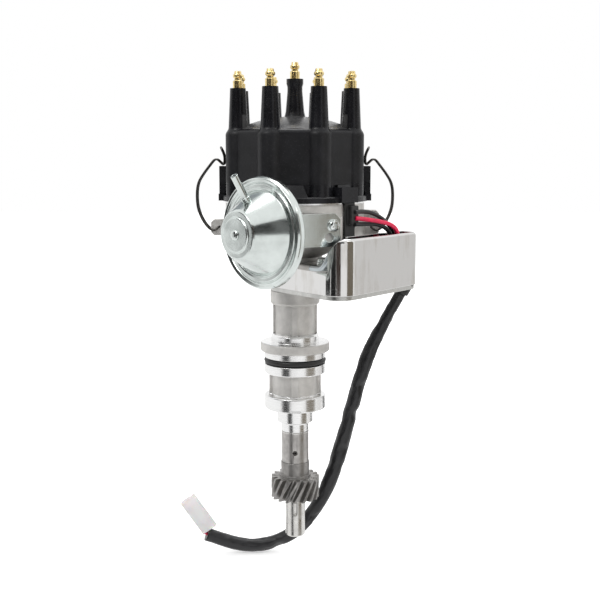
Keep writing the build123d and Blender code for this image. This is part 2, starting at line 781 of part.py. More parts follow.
with BuildPart() as distributor_cap:
    with BuildSketch(Plane.XZ):
        with BuildLine():
            Polyline(
                (0, bowl_top_z),
                (cap_ring_r, bowl_top_z),
                (cap_ring_r, tower_low_z),
                (cap_ring_r - ring_bevel, tower_low_z + ring_bevel),
                (cap_body_r + skirt_step, cap_skirt_top_z),
                (0, cap_skirt_top_z),
                close=True,
            )
        make_face()
    revolve(axis=Axis.Z)
    with PolarLocations(tower_circle_r, tower_count, start_angle=tower_first_angle):
        with Locations((0, 0, tower_low_z + ring_bevel)):
            Cylinder(scallop_r, cap_skirt_height, align=(Align.CENTER, Align.CENTER, Align.MIN),
                     mode=Mode.SUBTRACT)
    with BuildSketch(Plane.XY.offset(tower_low_z)):
        RegularPolygon(cap_body_r, tower_count, major_radius=False, rotation=tower_first_angle)
    extrude(amount=cap_shoulder_z - tower_low_z)
    fillet(distributor_cap.faces().sort_by(Axis.Z)[-1].edges(), cap_edge_r)
    with BuildSketch(Plane.XZ):
        with BuildLine():
            dome_foot = (cap_body_r - cap_edge_r, cap_shoulder_z - 0.3)
            dome_line = ThreePointArc(dome_foot, (cap_body_r / 2, cap_shoulder_z + 0.74 * cap_dome_rise),
                                      (0, cap_dome_z))
            Polyline(dome_line @ 1, (0, cap_shoulder_z - 0.3), dome_foot)
        make_face()
    revolve(axis=Axis.Z)
    with PolarLocations(tower_circle_r, tower_count, start_angle=tower_first_angle):
        add(cap_tower.part)
    with BuildSketch(Plane(origin=(0, 0, bowl_top_z), x_dir=direction(pad_angle), z_dir=(0, 0, 1))):
        with Locations((cap_body_r, 0)):
            Rectangle(2 * pad_reach, pad_width)
    extrude(amount=pad_height)
    with BuildSketch(Plane.XZ):
        with BuildLine():
            Polyline(
                (0, cap_dome_z - 3.0),
                (centre_tower_foot_r + 1.5, cap_dome_z - 3.0),
                (centre_tower_foot_r, cap_dome_z + 3.0),
                (centre_tower_waist_r, centre_tower_top_z - 8.0),
                (centre_tower_waist_r, centre_tower_top_z - 5.0),
                (centre_tower_lip_r, centre_tower_top_z - 3.0),
                (centre_tower_lip_r, centre_tower_top_z),
                (0, centre_tower_top_z),
                close=True,
            )
        make_face()
    revolve(axis=Axis.Z)
    for side in (-1, 1):
        with Locations((side * clip_boss_r / 2, 0, clip_boss_low_z)):
            Box(clip_boss_r, clip_boss_width, clip_boss_top_z - clip_boss_low_z,
                align=(Align.CENTER, Align.CENTER, Align.MIN))
        with Locations((side * (clip_boss_r + 0.5) / 2, 0, bowl_top_z)):
            Box(clip_boss_r + 0.5, clip_boss_width + 2.0, clip_boss_low_z - bowl_top_z,
                align=(Align.CENTER, Align.CENTER, Align.MIN))
    with BuildSketch(Plane.XZ):
        with BuildLine():
            Polyline(
                (0, bowl_top_z),
                (bowl_inner_r - 0.3, bowl_top_z),
                (cap_cavity_r, bowl_top_z + 6.0),
                (cap_cavity_r, cap_cavity_top_z - 4.0),
                (cap_cavity_r - 4.0, cap_cavity_top_z),
                (0, cap_cavity_top_z + cap_dome_rise * 0.5),
                close=True,
            )
        make_face()
    revolve(axis=Axis.Z, mode=Mode.SUBTRACT)
    with PolarLocations(tower_circle_r, tower_count, start_angle=tower_first_angle):
        with Locations((0, 0, socket_low_z)):
            Cylinder(insert_r + socket_wall, cap_cavity_top_z - socket_low_z,
                     align=(Align.CENTER, Align.CENTER, Align.MIN))
    with Locations((0, 0, centre_boss_low_z)):
        Cylinder(centre_boss_r, cap_cavity_top_z + 6.0 - centre_boss_low_z,
                 align=(Align.CENTER, Align.CENTER, Align.MIN))
    with PolarLocations(tower_circle_r, tower_count, start_angle=tower_first_angle):
        with Locations((0, 0, insert_low_z)):
            Cylinder(insert_r, insert_top_z - insert_low_z,
                     align=(Align.CENTER, Align.CENTER, Align.MIN), mode=Mode.SUBTRACT)
        with Locations((0, 0, insert_top_z)):
            Cylinder(terminal_bore_r, tower_top_z - insert_top_z,
                     align=(Align.CENTER, Align.CENTER, Align.MIN), mode=Mode.SUBTRACT)
    with Locations((0, 0, centre_boss_low_z)):
        Cylinder(button_r + run_gap, centre_tower_top_z - centre_tower_bore - centre_boss_low_z,
                 align=(Align.CENTER, Align.CENTER, Align.MIN), mode=Mode.SUBTRACT)
    with Locations((0, 0, centre_tower_top_z - centre_tower_bore)):
        Cylinder(terminal_bore_r, centre_tower_bore,
                 align=(Align.CENTER, Align.CENTER, Align.MIN), mode=Mode.SUBTRACT)
write(distributor_cap.part, "distributor_cap")


def plug_terminal(low_z, stem_depth):
    """Turned terminal: stem, foot, neck and a bulged head, slit crosswise so that it springs."""
    with BuildPart() as terminal:
        with BuildSketch(Plane.XZ):
            with BuildLine():
                Polyline(
                    (0, low_z - stem_depth),
                    (terminal_bore_r, low_z - stem_depth),
                    (terminal_bore_r, low_z),
                    (terminal_r, low_z),
                    (terminal_r, low_z + 3.6),
                    (terminal_r * 0.78, low_z + 4.6),
                    (terminal_r * 0.76, low_z + 5.8),
                    (terminal_r * 0.96, low_z + 6.8),
                    (terminal_r * 0.98, low_z + 7.8),
                    (terminal_r * 0.82, low_z + 9.0),
                    (terminal_r * 0.72, low_z + terminal_height),
                    (0, low_z + terminal_height),
                    close=True,
                )
            make_face()
        revolve(axis=Axis.Z)
        for slit_angle in (0, 90):
            with Locations(Location((0, 0, low_z + terminal_height), (0, 0, slit_angle))):
                Box(slit_width, 3 * terminal_r, 2 * slit_depth, mode=Mode.SUBTRACT)
    return terminal.part


outer_terminal = plug_terminal(tower_top_z, insert_drop)
with BuildPart() as outer_terminals:
    with PolarLocations(tower_circle_r, tower_count, start_angle=tower_first_angle):
        add(outer_terminal)
write(outer_terminals.part, "outer_terminals")

write(plug_terminal(centre_tower_top_z, centre_tower_bore), "centre_terminal")

with BuildPart() as cap_electrodes:
    with PolarLocations(tower_circle_r, tower_count, start_angle=tower_first_angle):
        with Locations((0, 0, insert_low_z)):
            Cylinder(insert_r, insert_top_z - insert_low_z,
                     align=(Align.CENTER, Align.CENTER, Align.MIN))
        with Locations(((insert_inner_r - tower_circle_r) / 2, 0, insert_low_z)):
            Box(tower_circle_r - insert_inner_r, 3.0, 5.0, align=(Align.CENTER, Align.CENTER, Align.MIN))
write(cap_electrodes.part, "cap_electrodes")

with BuildPart() as carbon_button:
    with Locations((0, 0, button_tip_z)):
        Cylinder(button_r, button_length, align=(Align.CENTER, Align.CENTER, Align.MIN))
    chamfer(carbon_button.edges().group_by(Axis.Z)[0], 0.8)
write(carbon_button.part, "carbon_button")

button_top_z = button_tip_z + button_length
with BuildPart() as carbon_spring:
    with Locations((0, 0, button_top_z)):
        Cylinder(button_r - carbon_spring_gap, centre_tower_top_z - centre_tower_bore - button_top_z,
                 align=(Align.CENTER, Align.CENTER, Align.MIN))
        Cylinder(button_r - carbon_spring_gap - carbon_spring_wire,
                 centre_tower_top_z - centre_tower_bore - button_top_z,
                 align=(Align.CENTER, Align.CENTER, Align.MIN), mode=Mode.SUBTRACT)
write(carbon_spring.part, "carbon_spring")

# Bail clips: one wire each, hinged in the lug and hooked over the cap's boss
bail_points = [
    (hinge_r, hinge_z),
    (hinge_r + 4.4, hinge_z - 3.6),
    (hinge_r + 9.5, hinge_z + 0.6),
    (clip_boss_r + 14.1, 94.0),
    (clip_boss_r + 14.8, 102.7),
    (clip_boss_r + 13.9, 110.5),
    (clip_boss_r + 10.2, clip_boss_top_z - 5.8),
    (clip_boss_r + 5.7, clip_boss_top_z + 0.2),
    (clip_boss_r + 1.1, clip_boss_top_z + 4.0),
    (clip_boss_r - 2.7, clip_boss_top_z + wire_r + 0.15),
    (clip_boss_r - 3.4, clip_boss_top_z + 7.0),
    (clip_boss_r - 0.5, clip_boss_top_z + 12.7),
]
for name, side in (("left_bail", -1), ("right_bail", 1)):
    with BuildPart() as bail:
        for lane in (-1, 1):
            lane_y = lane * bail_half_width
            points = [Vector(side * r, lane_y, z) for r, z in bail_points]
            with BuildLine():
                FilletPolyline(*points, radius=[min(value, 9.0) for value in arc_radii(points)])
            with BuildSketch(Plane(origin=points[0], z_dir=points[1] - points[0])):
                Circle(wire_r)
            sweep()
            with Locations(Location((side * hinge_r, lane * (bail_half_width + wire_r) / 2 + lane * 0.4,
                                     hinge_z), (90, 0, 0))):
                Cylinder(wire_r, bail_half_width + wire_r - 0.8)
        tip = bail_points[-1]
        with Locations(Location((side * tip[0], 0, tip[1]), (90, 0, 0))):
            Cylinder(wire_r, 2 * bail_half_width + 2 * wire_r)
    write(bail.part, name)

# Vacuum canister shells, revolved about the canister's own axis
with BuildPart() as canister_front:
    with BuildSketch(rim_plane):
        with BuildLine():
            Polyline(
                (0, hub_out),
                (hub_r - 0.6, hub_out),
                (hub_r, hub_out - hub_step),
                (hub_shoulder_r - 0.6, hub_out - hub_step),
                (hub_shoulder_r + shoulder_run, hub_out - hub_step - shoulder_drop),
                (cone_foot_r, cone_foot_out),
                (cone_foot_r + 0.8, cone_foot_out + 0.6),
                (ring_r - 0.6, cone_foot_out + 0.6),
                (ring_r, cone_foot_out - 0.4),
                (ring_r + 0.9, rim_front),
                (rim_r - 1.2, rim_front + 0.4),
                (rim_r, rim_front - 1.4),
                (rim_r, 1.0 - rim_back),
                (rim_r - 1.0, -rim_back),
                (0, -rim_back),
                close=True,
            )
        make_face()
    revolve(axis=canister_axis)
    with BuildSketch(rim_plane):
        with BuildLine():
            Polyline(
                (0, hub_out - hub_step - shell_t),
                (hub_shoulder_r - 0.9, hub_out - hub_step - shell_t),
                (cone_foot_r - 1.5, diaphragm_t / 2),
                (rim_r - shell_t, diaphragm_t / 2),
                (rim_r - shell_t, -rim_back),
                (0, -rim_back),
                close=True,
            )
        make_face()
    revolve(axis=canister_axis, mode=Mode.SUBTRACT)

back_outer = [
    (rod_width, -back_depth),
    (back_flat_r, -back_depth),
    (rim_r - 4.0, -rim_back),
    (rim_r - shell_t, -rim_back),
    (rim_r - shell_t, -diaphragm_t / 2),
    (rim_r - 4.6, -diaphragm_t / 2),
    (back_flat_r - 0.6, -back_depth + shell_t),
    (rod_width, -back_depth + shell_t),
]
with BuildPart() as canister_back:
    with BuildSketch(rim_plane):
        with BuildLine():
            Polyline(*back_outer, close=True)
        make_face()
    revolve(axis=canister_axis)
write(canister_back.part, "canister_back")

with BuildPart() as diaphragm:
    with BuildSketch(rim_plane):
        with BuildLine():
            Polyline(
                (diaphragm_hole_r, -diaphragm_t / 2),
                (rim_r - shell_t, -diaphragm_t / 2),
                (rim_r - shell_t, diaphragm_t / 2),
                (diaphragm_hole_r, diaphragm_t / 2),
                close=True,
            )
        make_face()
    revolve(axis=canister_axis)
write(diaphragm.part, "diaphragm")

spring_r = 8.0
with BuildPart() as vacuum_spring:
    with BuildSketch(rim_plane):
        with BuildLine():
            Polyline(
                (spring_r - vacuum_spring_wire, diaphragm_t / 2),
                (spring_r, diaphragm_t / 2),
                (spring_r, hub_out - hub_step - shell_t),
                (spring_r - vacuum_spring_wire, hub_out - hub_step - shell_t),
                close=True,
            )
        make_face()
    revolve(axis=canister_axis)
write(vacuum_spring.part, "vacuum_spring")

rivet_r = 3.4
rivet_rise = 1.5
with BuildPart() as dome_rivet:
    with BuildSketch(rim_plane):
        with BuildLine():
            Polyline(
                (0, hub_out),
                (rivet_r, hub_out),
                (rivet_r * 0.92, hub_out + rivet_rise * 0.4),
                (rivet_r * 0.66, hub_out + rivet_rise * 0.8),
                (rivet_r * 0.3, hub_out + rivet_rise),
                (0, hub_out + rivet_rise),
                close=True,
            )
        make_face()
    revolve(axis=canister_axis)
write(dome_rivet.part, "dome_rivet")

# Hose nipple, leaning forward out of the top of the cone
cone_rise = hub_out - hub_step - shoulder_drop - cone_foot_out
cone_slope = cone_rise / (cone_foot_r - hub_shoulder_r - shoulder_run)
nipple_foot_out = cone_foot_out + (cone_foot_r - nipple_foot_radius) * cone_slope
nipple_foot = rim_plane.origin + outward * nipple_foot_out + Vector(0, 0, nipple_foot_radius)
nipple_run = Vector(0, 0, cos(radians(nipple_lean))) + outward * sin(radians(nipple_lean))
nipple_sink = 2.0
nipple_plane = Plane(origin=nipple_foot - nipple_run * nipple_sink, x_dir=outward.cross(Vector(0, 0, 1)),
                     z_dir=nipple_run)
with BuildPart() as hose_nipple:
    with BuildSketch(nipple_plane):
        Circle(nipple_r)
    extrude(amount=nipple_length + nipple_sink)
    with BuildSketch(nipple_plane):
        Circle(nipple_r + nipple_foot_step)
    extrude(amount=nipple_sink + nipple_foot_height)
    with BuildSketch(nipple_plane.offset(nipple_sink + nipple_foot_height)):
        Circle(nipple_r + nipple_bead_step)
    extrude(amount=nipple_bead_height)
    with BuildSketch(nipple_plane):
        Circle(nipple_bore_r)
    extrude(amount=nipple_length + nipple_sink, mode=Mode.SUBTRACT)
write(hose_nipple.part, "hose_nipple")

with BuildPart() as canister_front_bored:
    add(canister_front.part)
    with BuildSketch(nipple_plane.offset(-3.0)):
        Circle(nipple_r + nipple_foot_step)
    extrude(amount=nipple_length, mode=Mode.SUBTRACT)
write(canister_front_bored.part, "canister_front")

# Vacuum rod: a strip from the diaphragm's cup to an eye on the plate's pin
cup_r = 12.0
cup_t = 1.0
eye_r = 4.2
plate_pin_r = 1.5
eye_clearance = 0.15
plate_turn = 10.0
pin_swing = canister_offset * (1 - cos(radians(plate_turn)))
rod_start_out = -diaphragm_t / 2 - cup_t
pin_point = direction(90 - canister_angle) * canister_offset
with BuildPart() as vacuum_rod:
    with BuildSketch(rim_plane):
        with BuildLine():
            Polyline((0, rod_start_out), (cup_r, rod_start_out), (cup_r, -diaphragm_t / 2),
                     (0, -diaphragm_t / 2), close=True)
        make_face()
    revolve(axis=canister_axis)
    with BuildSketch(Plane(origin=(0, 0, canister_z - rod_t / 2), x_dir=outward, z_dir=(0, 0, 1))):
        with Locations(((canister_out + rod_start_out) / 2, canister_offset)):
            Rectangle(canister_out + rod_start_out, rod_width)
        with Locations((0, canister_offset)):
            Circle(eye_r)
        with Locations((0, canister_offset - pin_swing / 2)):
            SlotOverall(2 * (plate_pin_r + eye_clearance) + pin_swing, 2 * (plate_pin_r + eye_clearance),
                        rotation=90, mode=Mode.SUBTRACT)
    extrude(amount=rod_t)
write(vacuum_rod.part, "vacuum_rod")

# Bracket: from the flat on the bowl, bent to lie against the back of the canister
bracket_middle = pad_out + bracket_t / 2
bracket_out = direction(bracket_angle)
bracket_side = direction(bracket_angle + 90)
back_level = canister_out - back_depth - bracket_t / 2
facing = outward.dot(bracket_out) * bracket_middle
bend_along = (back_level - facing) / outward.dot(bracket_side)
bend_point = bracket_out * bracket_middle + bracket_side * bend_along
across = direction(-90 - canister_angle)
bracket_reach = 13.0
with BuildPart() as bracket_blank:
    with BuildSketch(Plane.XY.offset(bracket_low_z)):
        with BuildLine():
            Polyline(
                bracket_out * bracket_middle + bracket_side * bracket_right,
                bend_point,
                bend_point + across * bracket_reach,
            )
        trace(line_width=bracket_t)
    extrude(amount=bracket_top_z - bracket_low_z)
bracket_screw_spots = [(7.1, 2.9), (-19.0, 2.9)]
open_hole_spot = (4.6, -4.7)
with BuildPart() as canister_bracket:
    add(bracket_blank.part)
    with BuildSketch(pad_plane):
        with Locations(*bracket_screw_spots):
            Circle(screw_shank_r)
        with Locations(open_hole_spot):
            Circle(bracket_hole_r)
        with Locations(Location((bracket_right, (bracket_top_z - bracket_low_z) / 2, 0), (0, 0, 45))):
            Rectangle(bracket_corner, bracket_corner)
    extrude(amount=bracket_t * 2, mode=Mode.SUBTRACT)
    with BuildSketch(Plane(origin=rim_plane.origin, x_dir=(0, 0, 1), z_dir=outward)):
        Rectangle(rod_t + 3.0, rod_width + 3.0)
    extrude(amount=-far / 4, mode=Mode.SUBTRACT)
write(canister_bracket.part, "canister_bracket")

with BuildPart() as bracket_screws:
    with BuildSketch(pad_plane.offset(bracket_t)):
        with Locations(*bracket_screw_spots):
            Circle(washer_r)
    extrude(amount=0.8)
    with BuildSketch(pad_plane.offset(bracket_t + 0.8)):
        with Locations(*bracket_screw_spots):
            Circle(screw_head_r)
    extrude(amount=2.2)
    with BuildSketch(pad_plane.offset(bracket_t)):
        with Locations(*bracket_screw_spots):
            Circle(screw_shank_r)
    extrude(amount=-bracket_t)
write(bracket_screws.part, "bracket_screws")

# Pickup plates: the fixed one on its seat, and the moving one turning on its collar
plate_hole_r = sleeve_r + 1.6
collar_top = moving_plate_top_z + 0.4
with BuildPart() as fixed_plate:
    with BuildSketch(Plane.XY.offset(plate_seat_z)):
        Circle(bowl_inner_r - 0.1)
        Circle(plate_hole_r, mode=Mode.SUBTRACT)
    extrude(amount=plate_sheet)
    with BuildSketch(Plane.XY.offset(fixed_plate_top_z)):
        Circle(plate_collar_r)
        Circle(plate_hole_r, mode=Mode.SUBTRACT)
    extrude(amount=collar_top - fixed_plate_top_z)
    with BuildSketch(Plane.XY.offset(plate_seat_z)):
        with PolarLocations((plate_seat_r + bowl_inner_r) / 2, 3, start_angle=80):
            Circle(1.4)
    extrude(amount=plate_sheet, mode=Mode.SUBTRACT)
write(fixed_plate.part, "fixed_plate")

with BuildPart() as plate_screws:
    with BuildSketch(Plane.XY.offset(plate_seat_z)):
        with PolarLocations((plate_seat_r + bowl_inner_r) / 2, 3, start_angle=80):
            Circle(1.4)
    extrude(amount=plate_sheet)
    with BuildSketch(Plane.XY.offset(fixed_plate_top_z)):
        with PolarLocations((plate_seat_r + bowl_inner_r) / 2, 3, start_angle=80):
            Circle(2.0)
    extrude(amount=1.6)
write(plate_screws.part, "plate_screws")

with BuildPart() as pickup_plate:
    with BuildSketch(Plane.XY.offset(moving_plate_z)):
        Circle(moving_plate_r)
        Circle(plate_collar_r + run_gap, mode=Mode.SUBTRACT)
    extrude(amount=plate_sheet)
    with BuildSketch(Plane.XY.offset(moving_plate_top_z)):
        with Locations((pin_point.X, pin_point.Y)):
            Circle(plate_pin_r)
    extrude(amount=canister_z + rod_t / 2 + 0.8 - moving_plate_top_z)
write(pickup_plate.part, "pickup_plate")

pickup_angle = 200.0
pickup_mid_z = reluctor_low_z + reluctor_height / 2
pole_inner_r = reluctor_r + pickup_gap
coil_low_z = moving_plate_top_z
magnet_r = moving_plate_r - 5.0
magnet_width = 5.0
pickup_frame = Plane(origin=(0, 0, coil_low_z), x_dir=direction(pickup_angle), z_dir=(0, 0, 1))
with BuildPart() as pickup_magnet:
    with BuildSketch(pickup_frame):
        with Locations((magnet_r, 0)):
            Rectangle(magnet_width, 14.0)
    extrude(amount=pickup_mid_z - coil_low_z - 1.0)
write(pickup_magnet.part, "pickup_magnet")

with BuildPart() as pole_piece:
    with BuildSketch(pickup_frame.offset(pickup_mid_z - coil_low_z - 1.0)):
        with Locations(((pole_inner_r + magnet_r + magnet_width / 2) / 2, 0)):
            Rectangle(magnet_r + magnet_width / 2 - pole_inner_r, 4.0)
        with Locations((magnet_r, 0)):
            Rectangle(magnet_width, 14.0)
    extrude(amount=2.0)
write(pole_piece.part, "pole_piece")

coil_plane = Plane(origin=direction(pickup_angle) * (pole_inner_r + 1.2) + Vector(0, 0, pickup_mid_z),
                   x_dir=direction(pickup_angle + 90), z_dir=direction(pickup_angle))
with BuildPart() as pickup_coil:
    with BuildSketch(coil_plane):
        RectangleRounded(9.0, 7.0, 2.0)
        Rectangle(4.0, 2.0, mode=Mode.SUBTRACT)
    extrude(amount=magnet_r - 2.6 - pole_inner_r - 1.2)
write(pickup_coil.part, "pickup_coil")

reluctor_pin_r = 1.0
between_teeth = radians(180 / tower_count)
pin_plane = Plane(origin=(0, 0, pickup_mid_z), z_dir=(cos(between_teeth), sin(between_teeth), 0))

# Sleeve on the shaft's upper end, with the weight plate, the weight pins and the rotor posts
sleeve_low_z = journal_top_z + 0.2
weight_top_z = weight_z + weight_height
post_angles = (151.0, 331.0)
with BuildPart() as advance_sleeve:
    with BuildSketch(Plane.XY.offset(sleeve_low_z)):
        Circle(sleeve_r)
        Circle(shaft_top_r + run_gap, mode=Mode.SUBTRACT)
    extrude(amount=weight_plate_z - sleeve_low_z)
    with BuildSketch(Plane.XY.offset(weight_plate_z)):
        Circle(weight_plate_r)
        Circle(shaft_top_r + run_gap, mode=Mode.SUBTRACT)
    extrude(amount=weight_plate_t)
    with BuildSketch(Plane.XY.offset(weight_plate_z + weight_plate_t)):
        with PolarLocations(weight_pin_circle_r, 2):
            Circle(weight_pin_r)
    extrude(amount=weight_height + 2 * seat_gap)
    with BuildSketch(Plane.XY.offset(weight_plate_z + weight_plate_t)):
        for post_angle in post_angles:
            with PolarLocations(post_circle_r, 1, start_angle=post_angle):
                Circle(post_r)
    extrude(amount=rotor_low_z - weight_plate_z - weight_plate_t)
    with BuildSketch(pin_plane):
        Circle(reluctor_pin_r)
    extrude(amount=reluctor_r, mode=Mode.SUBTRACT)
write(advance_sleeve.part, "advance_sleeve")

with BuildPart() as advance_cam:
    with BuildSketch(Plane.XY.offset(weight_z)):
        Ellipse(cam_long_r, cam_short_r, rotation=60)
        Circle(shaft_top_r, mode=Mode.SUBTRACT)
    extrude(amount=weight_height)
write(advance_cam.part, "advance_cam")

# Advance weights: an arm with a round head on the pin and a heavy outer arc
for number, start in ((1, 0), (2, 180)):
    weight_plane = Plane(origin=(0, 0, weight_z),
                         x_dir=(cos(radians(start)), sin(radians(start)), 0), z_dir=(0, 0, 1))
    with BuildPart() as weight:
        with BuildSketch(weight_plane):
            Circle(weight_outer_r)
            Circle(weight_inner_r, mode=Mode.SUBTRACT)
            with BuildLine(mode=Mode.PRIVATE) as wedge_line:
                Polyline((0, 0), (far * cos(radians(34)), far * sin(radians(34))),
                         (0, far), (far * cos(radians(136)), far * sin(radians(136))), close=True)
            add(make_face(wedge_line.edges(), mode=Mode.PRIVATE), mode=Mode.INTERSECT)
            with Locations((weight_pin_circle_r, 0)):
                Circle(weight_pin_r + 3.0)
            with BuildLine(mode=Mode.PRIVATE) as arm_line:
                Polyline(
                    (weight_pin_circle_r - 5.0, 0),
                    (weight_pin_circle_r + 5.0, 0),
                    (weight_outer_r * cos(radians(36)), weight_outer_r * sin(radians(36))),
                    (13.5 * cos(radians(36)), 13.5 * sin(radians(36))),
                    close=True,
                )
            add(make_face(arm_line.edges(), mode=Mode.PRIVATE))
            with Locations((weight_pin_circle_r, 0)):
                Circle(weight_pin_r + run_gap, mode=Mode.SUBTRACT)
        extrude(amount=weight_height)
    write(weight.part, "weight_" + str(number))

spring_level = weight_top_z + 1.9
with BuildPart() as advance_springs:
    for start in (0, 180):
        spring_plane = Plane(origin=(0, 0, spring_level), x_dir=(cos(radians(start)), sin(radians(start)), 0),
                             z_dir=(0, 0, 1))
        hook_a = spring_plane.from_local_coords(Vector(weight_pin_circle_r, 4.0, 0))
        hook_b = spring_plane.from_local_coords(Vector(14.0, 20.0, 0))
        with BuildSketch(Plane(origin=hook_a, z_dir=hook_b - hook_a)):
            Circle(1.3)
            Circle(0.8, mode=Mode.SUBTRACT)
        extrude(amount=(hook_b - hook_a).length)
write(advance_springs.part, "advance_springs")

# Reluctor with one tooth for each cylinder, pinned on the sleeve
with BuildPart() as reluctor:
    with BuildSketch(Plane.XY.offset(reluctor_low_z)):
        Circle(reluctor_root_r)
        with PolarLocations(0, tower_count):
            with Locations(((reluctor_r + reluctor_root_r) / 2 - 1.0, 0)):
                Rectangle(reluctor_r - reluctor_root_r + 2.0, 3.0)
        Circle(sleeve_r, mode=Mode.SUBTRACT)
    extrude(amount=reluctor_height)
    with BuildSketch(pin_plane):
        Circle(reluctor_pin_r)
    extrude(amount=reluctor_r, mode=Mode.SUBTRACT)
write(reluctor.part, "reluctor")

with BuildPart() as reluctor_pin:
    with BuildSketch(pin_plane.offset(shaft_top_r + 0.6)):
        Circle(reluctor_pin_r)
    extrude(amount=reluctor_root_r - shaft_top_r - 1.2)
write(reluctor_pin.part, "reluctor_pin")

# Rotor: a disc on the posts, a hub and an arm that carries the brass blade
with BuildPart() as rotor:
    with BuildSketch(Plane.XY.offset(rotor_low_z)):
        Circle(rotor_disc_r)
    extrude(amount=rotor_disc_t)
    with BuildSketch(Plane.XY.offset(rotor_low_z + rotor_disc_t)):
        Circle(rotor_hub_r)
    extrude(amount=rotor_top_z - rotor_low_z - rotor_disc_t)
    with BuildSketch(Plane.XZ.offset(-4.0)):
        with BuildLine():
            Polyline(
                (0, rotor_low_z + 1.0),
                (blade_tip_r - 4.0, rotor_low_z + 1.0),
                (blade_tip_r - 4.0, insert_low_z + 1.0),
                (22.0, insert_low_z + 1.0),
                (rotor_hub_r + 3.0, rotor_top_z),
                (0, rotor_top_z),
                close=True,
            )
        make_face()
    extrude(amount=8.0)
    with BuildSketch(Plane.XY.offset(rotor_low_z)):
        for post_angle in post_angles:
            with PolarLocations(post_circle_r, 1, start_angle=post_angle):
                Circle(1.6)
    extrude(amount=rotor_disc_t, mode=Mode.SUBTRACT)
write(rotor.part, "rotor")

with BuildPart() as rotor_blade:
    with BuildSketch(Plane.XZ.offset(-2.5)):
        with BuildLine():
            Polyline(
                (-4.0, rotor_top_z),
                (rotor_hub_r + 3.0, rotor_top_z),
                (22.0, insert_low_z + 1.0),
                (blade_tip_r, insert_low_z + 1.0),
                (blade_tip_r, insert_low_z + 1.0 + blade_t * 1.6),
                (22.0, insert_low_z + 1.0 + blade_t * 1.6),
                (rotor_hub_r + 3.0, rotor_top_z + blade_t),
                (-4.0, rotor_top_z + blade_t),
                close=True,
            )
        make_face()
    extrude(amount=5.0)
write(rotor_blade.part, "rotor_blade")

with BuildPart() as rotor_screws:
    for post_angle in post_angles:
        with BuildSketch(Plane.XY.offset(rotor_low_z)):
            with PolarLocations(post_circle_r, 1, start_angle=post_angle):
                Circle(1.6)
        extrude(amount=rotor_disc_t)
        with BuildSketch(Plane.XY.offset(rotor_low_z + rotor_disc_t)):
            with PolarLocations(post_circle_r, 1, start_angle=post_angle):
                Circle(2.8)
        extrude(amount=1.8)
write(rotor_screws.part, "rotor_screws")

# Grommet in the bowl's wall, and the pickup leads from it into the module case
grommet_plane = Plane(origin=along(grommet_angle, bowl_inner_r), x_dir=direction(grommet_angle + 90),
                      z_dir=direction(grommet_angle))
with BuildPart() as grommet_block:
    with BuildSketch(grommet_plane):
        with Locations((0, (grommet_low_z + bowl_top_z) / 2)):
            Rectangle(grommet_width - 2.0, bowl_top_z - grommet_low_z)
    extrude(amount=bowl_wall + 0.2)
    with BuildSketch(grommet_plane.offset(bowl_wall + 0.2)):
        with Locations((0, (grommet_low_z + bowl_top_z) / 2)):
            Rectangle(grommet_width, bowl_top_z - grommet_low_z)
    extrude(amount=1.2)
    with BuildSketch(grommet_plane.offset(bowl_wall + 1.4)):
        with Locations((1.2, 92.0)):
            Rectangle(7.0, 12.0)
    extrude(amount=3.2)
write(grommet_block.part, "pickup_grommet")

boss_face = along(grommet_angle, bowl_inner_r + bowl_wall + 4.6)
side_way = direction(grommet_angle + 90)
red_route = [
    boss_face + side_way * 1.6 + Vector(0, 0, 90.2),
    boss_face + Vector(7.6, 4.4, 89.4),
    Vector(53.6, -21.5, 87.6),
    Vector(62.6, -12.6, 85.0),
    Vector(67.6, -6.4, 79.6),
    Vector(68.0, -4.4, 72.0),
]
upper_black_route = [
    boss_face + side_way * 0.6 + Vector(0, 0, 94.0),
    boss_face + Vector(6.1, 6.8, 94.4),
    Vector(50.8, -19.4, 92.4),
    Vector(58.0, -11.2, 87.6),
    Vector(64.4, -4.6, 80.6),
    Vector(67.2, 0.0, 72.0),
]
lower_black_route = [
    boss_face + side_way * 0.6 + Vector(0, 0, 86.4),
    boss_face + Vector(6.1, 6.8, 86.2),
    Vector(50.8, -19.2, 86.0),
    Vector(58.4, -11.0, 83.2),
    Vector(62.6, -6.6, 78.4),
    Vector(64.4, -4.4, 72.0),
]
write(tube(red_route, lead_r), "red_lead")
write(Part(children=[tube(upper_black_route, lead_r), tube(lower_black_route, lead_r)]), "black_leads")
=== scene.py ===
"""Looks of an ignition distributor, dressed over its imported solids."""

from math import cos, exp, pi, radians, sin, tan

import bmesh
import bpy
from mathutils import Matrix, Vector, noise


